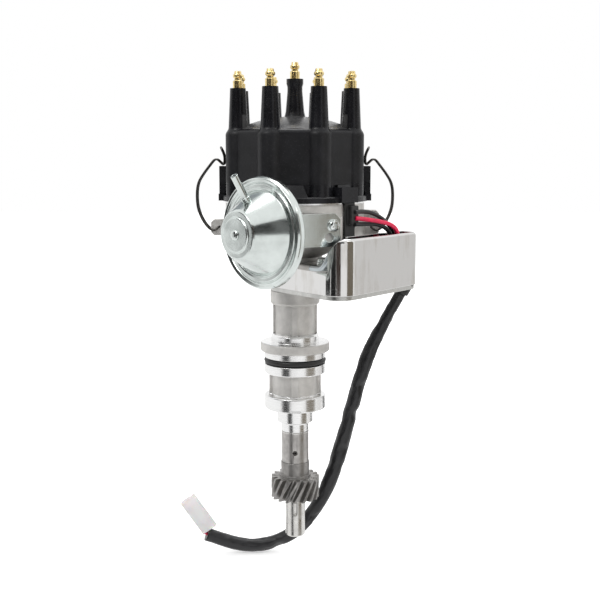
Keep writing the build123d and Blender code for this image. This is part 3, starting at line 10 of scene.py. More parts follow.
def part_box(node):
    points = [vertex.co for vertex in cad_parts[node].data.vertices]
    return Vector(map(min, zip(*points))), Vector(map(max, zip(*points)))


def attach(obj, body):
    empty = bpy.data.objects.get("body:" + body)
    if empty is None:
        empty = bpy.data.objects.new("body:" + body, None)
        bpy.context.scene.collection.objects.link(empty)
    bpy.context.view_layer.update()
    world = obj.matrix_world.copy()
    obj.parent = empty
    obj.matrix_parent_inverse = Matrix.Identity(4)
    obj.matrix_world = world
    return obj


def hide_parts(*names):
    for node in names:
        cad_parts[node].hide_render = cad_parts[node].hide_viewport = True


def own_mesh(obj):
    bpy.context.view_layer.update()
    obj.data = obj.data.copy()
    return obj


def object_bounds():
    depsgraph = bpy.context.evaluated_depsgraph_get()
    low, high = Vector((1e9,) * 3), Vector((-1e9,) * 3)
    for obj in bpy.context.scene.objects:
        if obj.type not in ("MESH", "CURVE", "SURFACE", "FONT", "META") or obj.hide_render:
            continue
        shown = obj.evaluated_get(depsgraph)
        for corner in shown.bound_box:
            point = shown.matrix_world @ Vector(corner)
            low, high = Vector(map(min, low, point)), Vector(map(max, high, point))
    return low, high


bl_info = {
    "name": "Ignition distributor",
    "version": (1, 0, 0),
    "blender": (4, 5, 0),
    "location": "View3D > Sidebar > Distributor",
    "description": "Dresses the parts of an ignition distributor and sets up its studio",
    "category": "Object",
}

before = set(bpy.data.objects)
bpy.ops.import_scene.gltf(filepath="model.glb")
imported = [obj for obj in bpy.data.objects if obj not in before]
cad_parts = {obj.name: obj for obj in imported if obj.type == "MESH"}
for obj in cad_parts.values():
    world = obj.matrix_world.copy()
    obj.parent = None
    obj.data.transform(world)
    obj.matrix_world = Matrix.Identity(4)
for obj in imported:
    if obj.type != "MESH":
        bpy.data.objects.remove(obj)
cad_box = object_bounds()
mm = 0.001

# The route of the harness, in metres, from the gland to the connector
HARNESS_ROUTE = (
    (0.0712, 0.0070, 0.0379),
    (0.0609, 0.0093, 0.0185),
    (0.0488, 0.0115, -0.0068),
    (0.0402, 0.0135, -0.0389),
    (0.0330, 0.0150, -0.0680),
    (0.0256, 0.0160, -0.0940),
    (0.0164, 0.0165, -0.1140),
    (0.0056, 0.0170, -0.1295),
    (-0.0084, 0.0170, -0.1400),
    (-0.0260, 0.0164, -0.1450),
    (-0.0446, 0.0146, -0.1424),
    (-0.0621, 0.0120, -0.1345),
)
# How much nearer to the sleeve's end the connector lies than its plain solid, and how far it leans over
CONNECTOR_SHIFT = Vector((0.0071, 0.0, 0.0))
CONNECTOR_LEAN = radians(9)
# Share of that shift which the connector's wires take
WIRE_SHARE = 0.6
# Where the sleeve is folded in: distance along it, and the turn round it
SLEEVE_FOLDS = (
    (0.062, 4.2), (0.071, 1.0), (0.083, 4.6), (0.091, 0.6), (0.099, 4.0), (0.118, 1.4),
    (0.139, 4.4), (0.158, 5.0), (0.171, 1.2), (0.186, 4.1), (0.203, 0.9), (0.222, 4.7),
)

# The routes of the pickup leads, in metres, from the grommet into the module case
RED_ROUTE = (
    (0.0381, -0.0322, 0.0902),
    (0.0446, -0.0290, 0.0894),
    (0.0536, -0.0215, 0.0876),
    (0.0626, -0.0126, 0.0850),
    (0.0676, -0.0064, 0.0796),
    (0.0680, -0.0044, 0.0720),
)
UPPER_BLACK_ROUTE = (
    (0.0375, -0.0330, 0.0940),
    (0.0432, -0.0266, 0.0944),
    (0.0508, -0.0194, 0.0924),
    (0.0580, -0.0112, 0.0876),
    (0.0644, -0.0046, 0.0806),
    (0.0672, 0.0000, 0.0720),
)
LOWER_BLACK_ROUTE = (
    (0.0375, -0.0330, 0.0864),
    (0.0432, -0.0266, 0.0862),
    (0.0508, -0.0192, 0.0860),
    (0.0584, -0.0110, 0.0832),
    (0.0626, -0.0066, 0.0784),
    (0.0644, -0.0044, 0.0720),
)

# Where the screws stand: on the case's ledge and on the bracket, each in its own plane
CASE_SCREWS = ((-0.0099, -0.0306), (0.0360, -0.0420), (0.0120, -0.0400))
CASE_TURN = radians(50.8)
LEDGE_LEVEL = 0.0610
BRACKET_SCREWS = ((0.0071, 0.0029), (-0.0190, 0.0029))
BRACKET_ANGLE = radians(21.5)
BRACKET_OUT = 0.0473
BRACKET_MIDDLE = 0.08345
# Middle line of the rolled rim on the case's left wall: distance out, distance along the face, height
CASE_RIM = (
    (0.0304, -0.0210, 0.0590),
    (0.0380, -0.0225, 0.0590),
    (0.0422, -0.0233, 0.0604),
    (0.0455, -0.0239, 0.0650),
    (0.0485, -0.0239, 0.0698),
    (0.0515, -0.0230, 0.0739),
    (0.0540, -0.0214, 0.0758),
    (0.0558, -0.0188, 0.0763),
    (0.0568, -0.0160, 0.0760),
)
RIM_RADIUS = 0.0020
# A bail's wire from its hinge to its finger loop, as distance out and height, and its half width
BAIL_ROUTE = (
    (0.0498, 0.0826),
    (0.0538, 0.0795),
    (0.0592, 0.0845),
    (0.0635, 0.0936),
    (0.0643, 0.1029),
    (0.0634, 0.1112),
    (0.0597, 0.1172),
    (0.0554, 0.1228),
    (0.0515, 0.1276),
    (0.0475, 0.1238),
    (0.0464, 0.1229),
    (0.0458, 0.1244),
    (0.0458, 0.1292),
    (0.0482, 0.1343),
)
BAIL_HALF_WIDTH = 0.0040
# The middle of the canister's rim
CANISTER_MIDDLE = (-0.019517, -0.056003, 0.0828)
# Heights of the cap's satin wall and of its dome, and how far from the shaft the dome lies; the dome carries the
# cap's painted sheen
CAP_WALL = (0.112, 0.1435)
CAP_DOME = (0.1448, 0.1545)
CAP_DOME_RING = (0.0068, 0.0386)
# Turned bands of the housing: lower and upper height, and how far out from the shaft they reach
TURNED_BANDS = (
    (-0.0554, -0.0290, None),
    (-0.0155, 0.0001, 0.0209),
    (0.0064, 0.0118, None),
    (0.0052, 0.0066, 0.0228),
    (0.0987, 0.101, None),
)
# Angle from which an edge counts as sharp
CREASE = radians(30)
# Two points closer than this, in metres, are one
MERGE = 1e-6
# Height of the outer terminals' seats above the cap's lower edge
TOWER_RISE = 71 * mm
# Length and stroke of the diaphragm's spring, in millimetres
DIAPHRAGM_SPRING = 19.3
# Hook and post of an advance spring, in millimetres; the other one lies opposite
ADVANCE_HOOK = (22.0, 4.0)
ADVANCE_POST = (14.0, 20.0)
ADVANCE_SPRING_LEVEL = 101.8
CAMERA_PLACE = (0.0033, -0.660, 0.1317)
LAMP_AIM = (0, 0, 0.03)
# Strength of the surround as light; where it is seen, it is 1
SURROUND_LIGHT = 0.62
FLOOR_GAP = 0.001
FLOOR_REACH = 4.0


def length_size(name, description, default, low, high):
    """A length that a user may change, given in millimetres."""
    return bpy.props.FloatProperty(name=name, description=description, default=default * mm, min=low * mm,
                                   max=high * mm, subtype="DISTANCE", unit="LENGTH")


def paint(name, description, default):
    """A colour that a user may change."""
    return bpy.props.FloatVectorProperty(name=name, description=description, default=default, size=3,
                                         subtype="COLOR", min=0.0, max=1.0)


class DistributorSizes(bpy.types.PropertyGroup):
    """Sizes that a user may change."""

    camera_lens: bpy.props.FloatProperty(
        name="Camera lens", description="Focal length of the camera, in millimetres", default=60.06, min=20.0,
        max=200.0)
    camera_pitch: bpy.props.FloatProperty(
        name="Camera pitch", description="How far the camera looks down", default=radians(8.45),
        subtype="ANGLE", unit="ROTATION")
    sleeve_diameter: length_size("Sleeve diameter", "Outer diameter of the harness sleeve", 9.0, 4, 14)
    sleeve_crease: length_size("Sleeve crease", "Depth of the creases in the harness sleeve", 1.05, 0, 2)
    lead_diameter: length_size("Lead diameter", "Outer diameter of a pickup lead", 2.8, 1, 4)
    bail_wire: length_size("Bail wire", "Diameter of the wire of the clips", 1.3, 0.5, 3)
    tower_count: bpy.props.IntProperty(
        name="Towers", description="Number of outer towers on the cap", default=8, min=4, max=12)
    tower_circle: length_size("Tower circle", "Radius of the circle that the towers stand on", 38.9, 20, 60)


class DistributorColours(bpy.types.PropertyGroup):
    """Colours that a user may change."""

    moulding: paint("Moulding", "Colour of the cap", (0.005, 0.005, 0.006))
    casting: paint("Casting", "Colour of the blasted aluminium", (0.76, 0.745, 0.72))
    turned: paint("Turned metal", "Colour of the turned lands", (0.93, 0.93, 0.925))
    chrome: paint("Chrome", "Colour of the module case", (0.72, 0.716, 0.708))
    zinc: paint("Zinc", "Colour of the zinc plate", (0.74, 0.79, 0.77))
    brass: paint("Brass", "Colour of the terminals", (0.94, 0.77, 0.40))
    gear_steel: paint("Gear steel", "Colour of the gear and the collar", (0.33, 0.32, 0.31))
    shaft_steel: paint("Shaft steel", "Colour of the shaft's end", (0.66, 0.65, 0.63))
    sleeve: paint("Sleeve", "Colour of the harness sleeve", (0.007, 0.007, 0.008))
    red_lead: paint("Red lead", "Colour of the red lead", (0.66, 0.006, 0.062))
    nylon: paint("Nylon", "Colour of the connector", (0.86, 0.84, 0.83))


def sizes():
    return bpy.context.scene.distributor_sizes


def colours():
    return bpy.context.scene.distributor_colours


def fill(tree, socket, value):
    """Links a node's output to the socket, or sets the socket to a plain value."""
    if isinstance(value, bpy.types.NodeSocket):
        tree.links.new(value, socket)
    else:
        socket.default_value = value


def add_node(tree, kind, settings=None, **values):
    """Adds a node; a value's name is its socket's, with an underscore for each space."""
    node = tree.nodes.new(kind)
    for name, value in (settings or {}).items():
        setattr(node, name, value)
    for name, value in values.items():
        fill(tree, node.inputs[name.replace("_", " ")], value)
    return node


def add_math(tree, operation, *values):
    node = add_node(tree, "ShaderNodeMath", {"operation": operation})
    for socket, value in zip(node.inputs, values):
        fill(tree, socket, value)
    return node.outputs[0]


class Finish:
    """A material under construction, with its nodes, its shader and the object's coordinates."""

    def __init__(self, name, colour, metallic=0.0, roughness=0.5):
        self.material = bpy.data.materials.new(name)
        self.material.use_nodes = True
        self.tree = self.material.node_tree
        self.shader = self.tree.nodes["Principled BSDF"]
        self.set(Base_Color=(*colour, 1), Metallic=metallic, Roughness=roughness)
        self.place = add_node(self.tree, "ShaderNodeTexCoord").outputs["Object"]
        self.normal = None

    def set(self, **values):
        """Sets or links the shader's inputs, with an underscore for each space in a name."""
        for name, value in values.items():
            fill(self.tree, self.shader.inputs[name.replace("_", " ")], value)

    def math(self, operation, *values):
        return add_math(self.tree, operation, *values)

    def round_shaft(self):
        """Height of a point, and its distance from the shaft's axis."""
        x, y, height = add_node(self.tree, "ShaderNodeSeparateXYZ", Vector=self.place).outputs
        square = self.math("ADD", self.math("MULTIPLY", x, x), self.math("MULTIPLY", y, y))
        return height, self.math("SQRT", square)

    def noise(self, scale, detail=3.0, vector=None, roughness=0.5):
        return add_node(self.tree, "ShaderNodeTexNoise", Scale=scale, Detail=detail, Roughness=roughness,
                        Vector=vector or self.place).outputs["Fac"]

    def streaks(self, scale, detail=3.0, vector=None):
        """Noise with its own scale along each axis."""
        stretched = add_node(self.tree, "ShaderNodeMapping", Scale=scale, Vector=vector or self.place)
        return self.noise(1.0, detail, stretched.outputs[0])

    def spots(self, scale):
        return add_node(self.tree, "ShaderNodeTexVoronoi", Scale=scale, Vector=self.place).outputs["Distance"]

    def spread(self, value, low, high, to_low=0.0, to_high=1.0):
        return add_node(self.tree, "ShaderNodeMapRange", Value=value, From_Min=low, From_Max=high,
                        To_Min=to_low, To_Max=to_high).outputs["Result"]

    def between(self, value, low, high, edge=0.0001):
        """One where the value lies between low and high, zero elsewhere."""
        rise = self.spread(value, low - edge, low + edge)
        fall = self.spread(value, high - edge, high + edge, 1.0, 0.0)
        return self.math("MULTIPLY", rise, fall)

    def blend(self, factor, first, second):
        """Mix of two colours."""
        ends = [value if isinstance(value, bpy.types.NodeSocket) else (*value[:3], 1)
                for value in (first, second)]
        return add_node(self.tree, "ShaderNodeMix", {"data_type": "RGBA"}, Factor=factor, A=ends[0],
                        B=ends[1]).outputs["Result"]

    def tint(self, value, low, high, first, second):
        """Mix of two colours, as a value goes from low to high."""
        return self.blend(self.spread(value, low, high), first, second)

    def blend_value(self, factor, first, second):
        return add_node(self.tree, "ShaderNodeMix", Factor=factor, A=first, B=second).outputs["Result"]

    def bump(self, height, depth, strength=1.0):
        """Adds a bump of that depth, in metres, over the bumps added before."""
        node = add_node(self.tree, "ShaderNodeBump", Strength=strength, Distance=depth, Height=height)
        if self.normal is not None:
            fill(self.tree, node.inputs["Normal"], self.normal)
        self.normal = node.outputs["Normal"]
        self.set(Normal=self.normal)


def shade(colour, factor):
    return tuple(channel * factor for channel in colour)


def black_moulding():
    """Satin black moulding, glossier on the dome and painted lighter grey there as a painted sheen of the cap's
    top, glossier on the thin towers and the skirt.
    """
    base = colours().moulding
    finish = Finish("black_moulding", base, 0.0, 0.4)
    height, across = finish.round_shaft()
    satin = finish.between(height, *CAP_WALL, 0.0015)
    dome = finish.math("MULTIPLY", finish.between(height, *CAP_DOME, 0.0006),
                       finish.between(across, *CAP_DOME_RING, 0.0006))
    cloud = finish.noise(90, 4)
    grain = finish.noise(2600, 2)
    dust = finish.spread(finish.spots(900), 0.10, 0.24, 1.0, 0.0)
    tone = finish.tint(cloud, 0.35, 0.7, base, shade(base, 1.9))
    # Painted sheen: the dome is painted lighter grey than the rest of the cap, for the bright sheen of its top,
    # mottled by the cloud noise
    painted_dome_sheen = finish.tint(cloud, 0.3, 0.7, (0.040, 0.040, 0.042), (0.075, 0.074, 0.074))
    tone = finish.blend(dome, tone, painted_dome_sheen)
    tone = finish.blend(finish.math("MULTIPLY", dust, 0.10), tone, (0.22, 0.22, 0.22))
    rough = finish.blend_value(satin, finish.spread(cloud, 0.3, 0.7, 0.16, 0.27),
                               finish.spread(grain, 0.3, 0.7, 0.36, 0.52))
    finish.set(Base_Color=tone, Roughness=rough, Specular_IOR_Level=0.27)
    finish.bump(grain, 0.00012, 0.5)
    finish.bump(cloud, 0.0006, 0.15)
    return finish.material


def cast_and_turned():
    """Blasted aluminium, with turned bands on the lands, the boss, the noses and the bowl's mouth."""
    cast = colours().casting
    turned = colours().turned
    finish = Finish("cast_and_turned", cast, 1.0, 0.5)
    height, across = finish.round_shaft()
    lands = None
    for low, high, reach in TURNED_BANDS:
        band = finish.between(height, low, high)
        if reach is not None:
            band = finish.math("MULTIPLY", band, finish.between(across, 0.0, reach))
        lands = band if lands is None else finish.math("MAXIMUM", lands, band)
    sand = finish.noise(3200, 3, roughness=0.6)
    cloud = finish.noise(130, 4)
    rings = finish.streaks((40, 40, 5200))
    cast_tone = finish.tint(cloud, 0.3, 0.75, shade(cast, 1.08), shade(cast, 0.78))
    cast_tone = finish.blend(finish.spread(sand, 0.25, 0.8, 0.0, 0.5), cast_tone, shade(cast, 0.6))
    turned_tone = finish.tint(rings, 0.35, 0.7, turned, shade(turned, 0.88))
    rough = finish.blend_value(lands, finish.spread(sand, 0.2, 0.8, 0.42, 0.62),
                               finish.spread(rings, 0.3, 0.7, 0.19, 0.31))
    finish.set(Base_Color=finish.blend(lands, cast_tone, turned_tone), Roughness=rough)
    rough_skin = finish.math("MULTIPLY", sand, finish.math("SUBTRACT", 1.0, lands))
    finish.bump(rough_skin, 0.00022, 0.8)
    finish.bump(rings, 0.00001, 0.25)
    return finish.material


def plated(name, colour, low, high, streak_scale=(300, 300, 30), cloud_scale=60.0):
    """Bright plating with faint clouds, streaks and pits."""
    finish = Finish(name, colour, 1.0, (low + high) / 2)
    cloud = finish.noise(cloud_scale, 4)
    both = finish.math("MULTIPLY", cloud, finish.streaks(streak_scale))
    finish.set(Base_Color=finish.tint(both, 0.12, 0.42, colour, shade(colour, 0.84)),
               Roughness=finish.spread(both, 0.1, 0.45, low, high))
    finish.bump(finish.spread(finish.spots(420), 0.0, 0.09), 0.00003, 0.35)
    finish.bump(cloud, 0.0004, 0.10)
    return finish.material


def case_chrome():
    """Plating of the module case, with dull streaks and small pits."""
    colour = colours().chrome
    finish = Finish("case_chrome", colour, 1.0, 0.1)
    cloud = finish.noise(38, 5)
    both = finish.math("MULTIPLY", cloud, finish.streaks((230, 230, 34), 4))
    specks = finish.spread(finish.spots(190), 0.015, 0.05, 1.0, 0.0)
    stain = shade((colour[0], colour[1] * 0.98, colour[2] * 0.95), 0.86)
    tone = finish.tint(both, 0.26, 0.42, colour, stain)
    finish.set(Base_Color=finish.blend(specks, tone, shade(colour, 0.4)),
               Roughness=finish.spread(both, 0.12, 0.45, 0.05, 0.2))
    finish.bump(cloud, 0.0008, 0.12)
    finish.bump(specks, 0.00006, 0.5)
    return finish.material


def ground_steel(name, colour, rough=0.34, dull=0.74):
    """Ground steel, with fine rings round the shaft and dull spots."""
    finish = Finish(name, colour, 1.0, rough)
    rings = finish.streaks((60, 60, 4200))
    cloud = finish.noise(240, 4)
    tone = finish.tint(cloud, 0.35, 0.75, shade(colour, 1.12), shade(colour, dull))
    tone = finish.blend(finish.spread(rings, 0.4, 0.75, 0.0, 0.6), tone, shade(colour, 0.85))
    finish.set(Base_Color=tone, Roughness=finish.spread(cloud, 0.3, 0.75, rough - 0.08, rough + 0.12))
    finish.bump(rings, 0.00002, 0.3)
    finish.bump(cloud, 0.00012, 1.1 * (1 - dull))
    return finish.material


def brass():
    """Turned brass, with fine rings and darker spots."""
    colour = colours().brass
    finish = Finish("terminal_brass", colour, 1.0, 0.2)
    rings = finish.streaks((100, 100, 5200), 2)
    cloud = finish.noise(700, 3)
    spot = (colour[0] * 0.72, colour[1] * 0.66, colour[2] * 0.5)
    finish.set(Base_Color=finish.tint(cloud, 0.35, 0.75, colour, spot),
               Roughness=finish.spread(cloud, 0.3, 0.7, 0.14, 0.3))
    finish.bump(rings, 0.00002, 0.3)
    return finish.material


def soft_black(name, colour, rough, grain_scale, grain_depth):
    """Rubber or carbon: dull, with a fine grain and a slight bloom."""
    finish = Finish(name, colour, 0.0, rough)
    grain = finish.noise(grain_scale, 3)
    cloud = finish.noise(120, 3)
    finish.set(Base_Color=finish.tint(cloud, 0.35, 0.75, colour, shade(colour, 2.0)),
               Roughness=finish.spread(grain, 0.3, 0.7, rough - 0.06, rough + 0.1))
    finish.bump(grain, grain_depth, 0.5)
    return finish.material


def insulation(name, colour):
    """Drawn insulation of a lead, slightly waxy."""
    finish = Finish(name, colour, 0.0, 0.3)
    cloud = finish.noise(260, 3)
    draw = finish.noise(1900, 2)
    finish.set(Base_Color=finish.tint(cloud, 0.35, 0.75, colour, shade(colour, 0.78)),
               Roughness=finish.spread(draw, 0.3, 0.7, 0.26, 0.4))
    finish.bump(draw, 0.00004, 0.35)
    return finish.material


def woven_sleeve():
    """Tight black sleeving: a fine weave over a slightly shiny skin."""
    colour = colours().sleeve
    finish = Finish("woven_sleeve", colour, 0.0, 0.36)
    along = add_node(finish.tree, "ShaderNodeTexCoord").outputs["UV"]
    weave = finish.streaks((60, 520, 1), 2, along)
    cloud = finish.noise(140, 4)
    finish.set(Base_Color=finish.tint(cloud, 0.35, 0.75, colour, shade(colour, 1.9)),
               Roughness=finish.spread(cloud, 0.3, 0.75, 0.27, 0.46))
    finish.bump(weave, 0.00010, 0.45)
    finish.bump(finish.noise(420, 3), 0.00035, 0.35)
    return finish.material


def milky_nylon():
    """Translucent nylon, milky, with faint flow marks."""
    colour = colours().nylon
    finish = Finish("milky_nylon", colour, 0.0, 0.34)
    flow = finish.streaks((160, 160, 60))
    finish.set(Base_Color=finish.tint(flow, 0.3, 0.75, colour, (0.80, 0.75, 0.76)),
               Roughness=finish.spread(flow, 0.3, 0.7, 0.28, 0.42),
               Transmission_Weight=0.25, Subsurface_Weight=0.3, Subsurface_Scale=0.004, IOR=1.5)
    finish.bump(finish.noise(1500, 2), 0.00003, 0.4)
    return finish.material


def wound_coil():
    """Lacquered winding of the pickup coil."""
    finish = Finish("wound_coil", (0.22, 0.10, 0.04), 0.0, 0.4)
    turns = finish.streaks((200, 200, 3800), 2)
    finish.set(Base_Color=finish.tint(turns, 0.35, 0.7, (0.30, 0.13, 0.05), (0.10, 0.045, 0.02)),
               Roughness=finish.spread(turns, 0.3, 0.7, 0.3, 0.5))
    finish.bump(turns, 0.0001, 0.6)
    return finish.material


FINISHES = {}


def finish_of(name):
    """The material of that name, made the first time that it is asked for."""
    makers = {
        "moulding": (black_moulding,),
        "housing": (cast_and_turned,),
        "zinc": (plated, "zinc_plate", colours().zinc, 0.13, 0.26, (120, 120, 120), 80.0),
        "chrome": (case_chrome,),
        # Painted reflection: the rolled rim of the chromed case gets a darker blue-grey plate than the case, for
        # the shade that its rounded edge reflects
        "rim": (plated, "rolled_rim", (0.50, 0.54, 0.56), 0.12, 0.22, (160, 160, 160), 90.0),
        "fastener": (plated, "screw_zinc", (0.80, 0.83, 0.82), 0.16, 0.28, (200, 200, 200), 160.0),
        "plate": (plated, "plate_aluminium", (0.62, 0.62, 0.60), 0.25, 0.42),
        "gear": (ground_steel, "gear_steel", colours().gear_steel, 0.4),
        "collar": (ground_steel, "collar_steel", shade(colours().gear_steel, 1.45), 0.36),
        "shaft": (ground_steel, "shaft_steel", colours().shaft_steel, 0.27, 0.95),
        "wire": (ground_steel, "wire_steel", (0.10, 0.095, 0.09), 0.3),
        "brass": (brass,),
        "bronze": (ground_steel, "sintered_bronze", (0.55, 0.36, 0.18), 0.5),
        "rubber": (soft_black, "black_rubber", (0.007, 0.007, 0.007), 0.42, 1800, 0.00006),
        "carbon": (soft_black, "carbon", (0.03, 0.03, 0.03), 0.6, 3000, 0.00005),
        "potting": (soft_black, "cast_resin", (0.02, 0.02, 0.025), 0.35, 400, 0.0001),
        "sleeve": (woven_sleeve,),
        "red": (insulation, "red_insulation", colours().red_lead),
        "black": (insulation, "black_insulation", (0.012, 0.012, 0.013)),
        "nylon": (milky_nylon,),
        "coil": (wound_coil,),
    }
    if name not in FINISHES:
        maker, *facts = makers[name]
        FINISHES[name] = maker(*facts)
    return FINISHES[name]


def placed(name, data):
    """A new object in the scene, at the origin."""
    piece = bpy.data.objects.new(name, data)
    bpy.context.scene.collection.objects.link(piece)
    return piece


def settle(name, mesh, finish, body, stands_for=()):
    """Puts a finished mesh on its body, in place of the nodes that it stands for."""
    if finish is not None:
        mesh.materials.clear()
        mesh.materials.append(finish_of(finish))
    piece = placed(name, mesh)
    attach(piece, body)
    if stands_for:
        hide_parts(*stands_for)
    return piece


def plain_mesh(piece):
    """The evaluated mesh of a piece as a new mesh, with its modifiers applied."""
    bpy.context.view_layer.update()
    return bpy.data.meshes.new_from_object(piece.evaluated_get(bpy.context.evaluated_depsgraph_get()))


def mesh_of(work, name):
    """The mesh under construction as a new mesh of that name."""
    mesh = bpy.data.meshes.new(name)
    work.to_mesh(mesh)
    work.free()
    return mesh


def merged(mesh, flat, crease=CREASE):
    """Merges doubles and facets flatter than an angle, and keeps the edges sharper than the crease sharp."""
    work = bmesh.new()
    work.from_mesh(mesh)
    bmesh.ops.remove_doubles(work, verts=work.verts, dist=MERGE)
    bmesh.ops.dissolve_limit(work, angle_limit=flat, verts=work.verts, edges=work.edges)
    for face in work.faces:
        face.smooth = True
    for edge in work.edges:
        edge.smooth = len(edge.link_faces) == 2 and edge.calc_face_angle(0.0) < crease
    work.to_mesh(mesh)
    work.free()


def softened(mesh, bevel, crease=CREASE, segments=2, clamp=True):
    """The mesh with its sharp edges bevelled and its faces shaded evenly."""
    holder = placed("soft_edges", mesh)
    soft = holder.modifiers.new("soft_edges", "BEVEL")
    soft.width = bevel
    soft.segments = segments
    soft.limit_method = "ANGLE"
    soft.angle_limit = crease
    soft.use_clamp_overlap = clamp
    soft.miter_outer = "MITER_ARC"
    holder.modifiers.new("even_shading", "WEIGHTED_NORMAL").keep_sharp = True
    result = plain_mesh(holder)
    bpy.data.objects.remove(holder)
    return result


def dressed(node, name, finish, body, bevel=0.0, crease=CREASE, segments=2):
    """A merged copy of a CAD node, with its sharp edges bevelled."""
    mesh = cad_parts[node].data.copy()
    merged(mesh, radians(0.3), crease)
    if bevel > 0:
        mesh = softened(mesh, bevel, crease, segments, clamp=False)
    return settle(name, mesh, finish, body, (node,))


def smooth_line(route):
    """Points along the smooth spline whose control points are the route."""
    curve = bpy.data.curves.new("route_line", "CURVE")
    curve.dimensions = "3D"
    curve.resolution_u = 24
    spline = curve.splines.new("NURBS")
    spline.points.add(len(route) - 1)
    for point, place in zip(spline.points, route):
        point.co = (*place, 1)
    spline.order_u = 3
    spline.use_endpoint_u = True
    line = placed("route_line", curve)
    mesh = plain_mesh(line)
    points = [vertex.co.copy() for vertex in mesh.vertices]
    bpy.data.objects.remove(line)
    return points


def even_points(points, step):
    """Points at even steps along a line of points."""
    lengths = [0.0]
    for before, after in zip(points, points[1:]):
        lengths.append(lengths[-1] + (after - before).length)
    count = max(2, round(lengths[-1] / step))
    found, here = [], 0
    for number in range(count + 1):
        target = lengths[-1] * number / count
        while here < len(points) - 2 and lengths[here + 1] < target:
            here += 1
        share = (target - lengths[here]) / max(lengths[here + 1] - lengths[here], 1e-12)
        found.append(points[here].lerp(points[here + 1], min(max(share, 0.0), 1.0)))
    return found


def line_frames(points):
    """Tangent, side and up at each point, with no twist along the line."""
    frames = []
    side = None
    for number, point in enumerate(points):
        before = points[max(number - 1, 0)]
        after = points[min(number + 1, len(points) - 1)]
        tangent = (after - before).normalized()
        if side is None:
            side = tangent.cross(Vector((0, 1, 0))).normalized()
        side = (side - tangent * side.dot(tangent)).normalized()
        frames.append((tangent, side, tangent.cross(side)))
    return frames


def tube_mesh(name, points, ring_radius, sides=36):
    """Closed tube along the points; ring_radius(distance, angle) gives its radius."""
    frames = line_frames(points)
    work = bmesh.new()
    layer = work.loops.layers.uv.new("UVMap")
    rings, distances, distance = [], [], 0.0
    for number, (point, (tangent, side, up)) in enumerate(zip(points, frames)):
        if number:
            distance += (point - points[number - 1]).length
        distances.append(distance)
        ring = []
        for step in range(sides):
            angle = 2 * pi * step / sides
            reach = ring_radius(distance, angle)
            ring.append(work.verts.new(point + side * (reach * cos(angle)) + up * (reach * sin(angle))))
        rings.append(ring)
    for number in range(len(rings) - 1):
        for step in range(sides):
            after = (step + 1) % sides
            face = work.faces.new((rings[number][step], rings[number][after],
                                   rings[number + 1][after], rings[number + 1][step]))
            face.smooth = True
            for loop, (u, v) in zip(face.loops, ((step, 0), (step + 1, 0), (step + 1, 1), (step, 1))):
                loop[layer].uv = (u / sides, distances[number + v] / 0.1)
    for ring, centre in ((rings[0], points[0]), (rings[-1], points[-1])):
        middle = work.verts.new(centre)
        for step in range(sides):
            work.faces.new((ring[step], ring[(step + 1) % sides], middle))
    bmesh.ops.recalc_face_normals(work, faces=work.faces)
    return mesh_of(work, name)


def line_length(points):
    return sum((after - before).length for before, after in zip(points, points[1:]))


def turned_mesh(name, profile, sides=40):
    """Closed turned shape; its profile is radius and height, from the lower pole to the upper one."""
    work = bmesh.new()
    angles = [2 * pi * step / sides for step in range(sides)]
    rings = [[work.verts.new((radius * cos(angle), radius * sin(angle), height)) for angle in angles]
             for radius, height in profile]
    for below, above in zip(rings, rings[1:]):
        for step in range(sides):
            after = (step + 1) % sides
            work.faces.new((below[step], below[after], above[after], above[step]))
    for ring, height in ((rings[0], profile[0][1]), (rings[-1], profile[-1][1])):
        pole = work.verts.new((0, 0, height))
        for step in range(sides):
            work.faces.new((ring[step], ring[(step + 1) % sides], pole))
    bmesh.ops.recalc_face_normals(work, faces=work.faces)
    return mesh_of(work, name)


def block_mesh(name, low, high, turn=0.0, taper=1.0):
    """Block between two corners, turned about Z, with its lower face tapered."""
    work = bmesh.new()
    bmesh.ops.create_cube(work, size=1.0)
    middle = (Vector(low) + Vector(high)) / 2
    size = Vector(high) - Vector(low)
    for vert in work.verts:
        reach = taper if vert.co.z < 0 else 1.0
        x, y = vert.co.x * size.x * reach, vert.co.y * size.y * reach
        vert.co = middle + Vector((x * cos(turn) - y * sin(turn), x * sin(turn) + y * cos(turn),
                                   vert.co.z * size.z))
    return mesh_of(work, name)


def carved(mesh, cutters, bevel):
    """The mesh with the cutters taken out of it and its sharp edges bevelled."""
    holder = placed("carved", mesh)
    helpers = [holder]
    for cutter in cutters:
        helpers.append(placed("cutter", cutter))
        cut = holder.modifiers.new("cut", "BOOLEAN")
        cut.object = helpers[-1]
        cut.operation = "DIFFERENCE"
        cut.solver = "EXACT"
    result = plain_mesh(holder)
    for helper in helpers:
        bpy.data.objects.remove(helper)
    merged(result, radians(0.5))
    return softened(result, bevel)


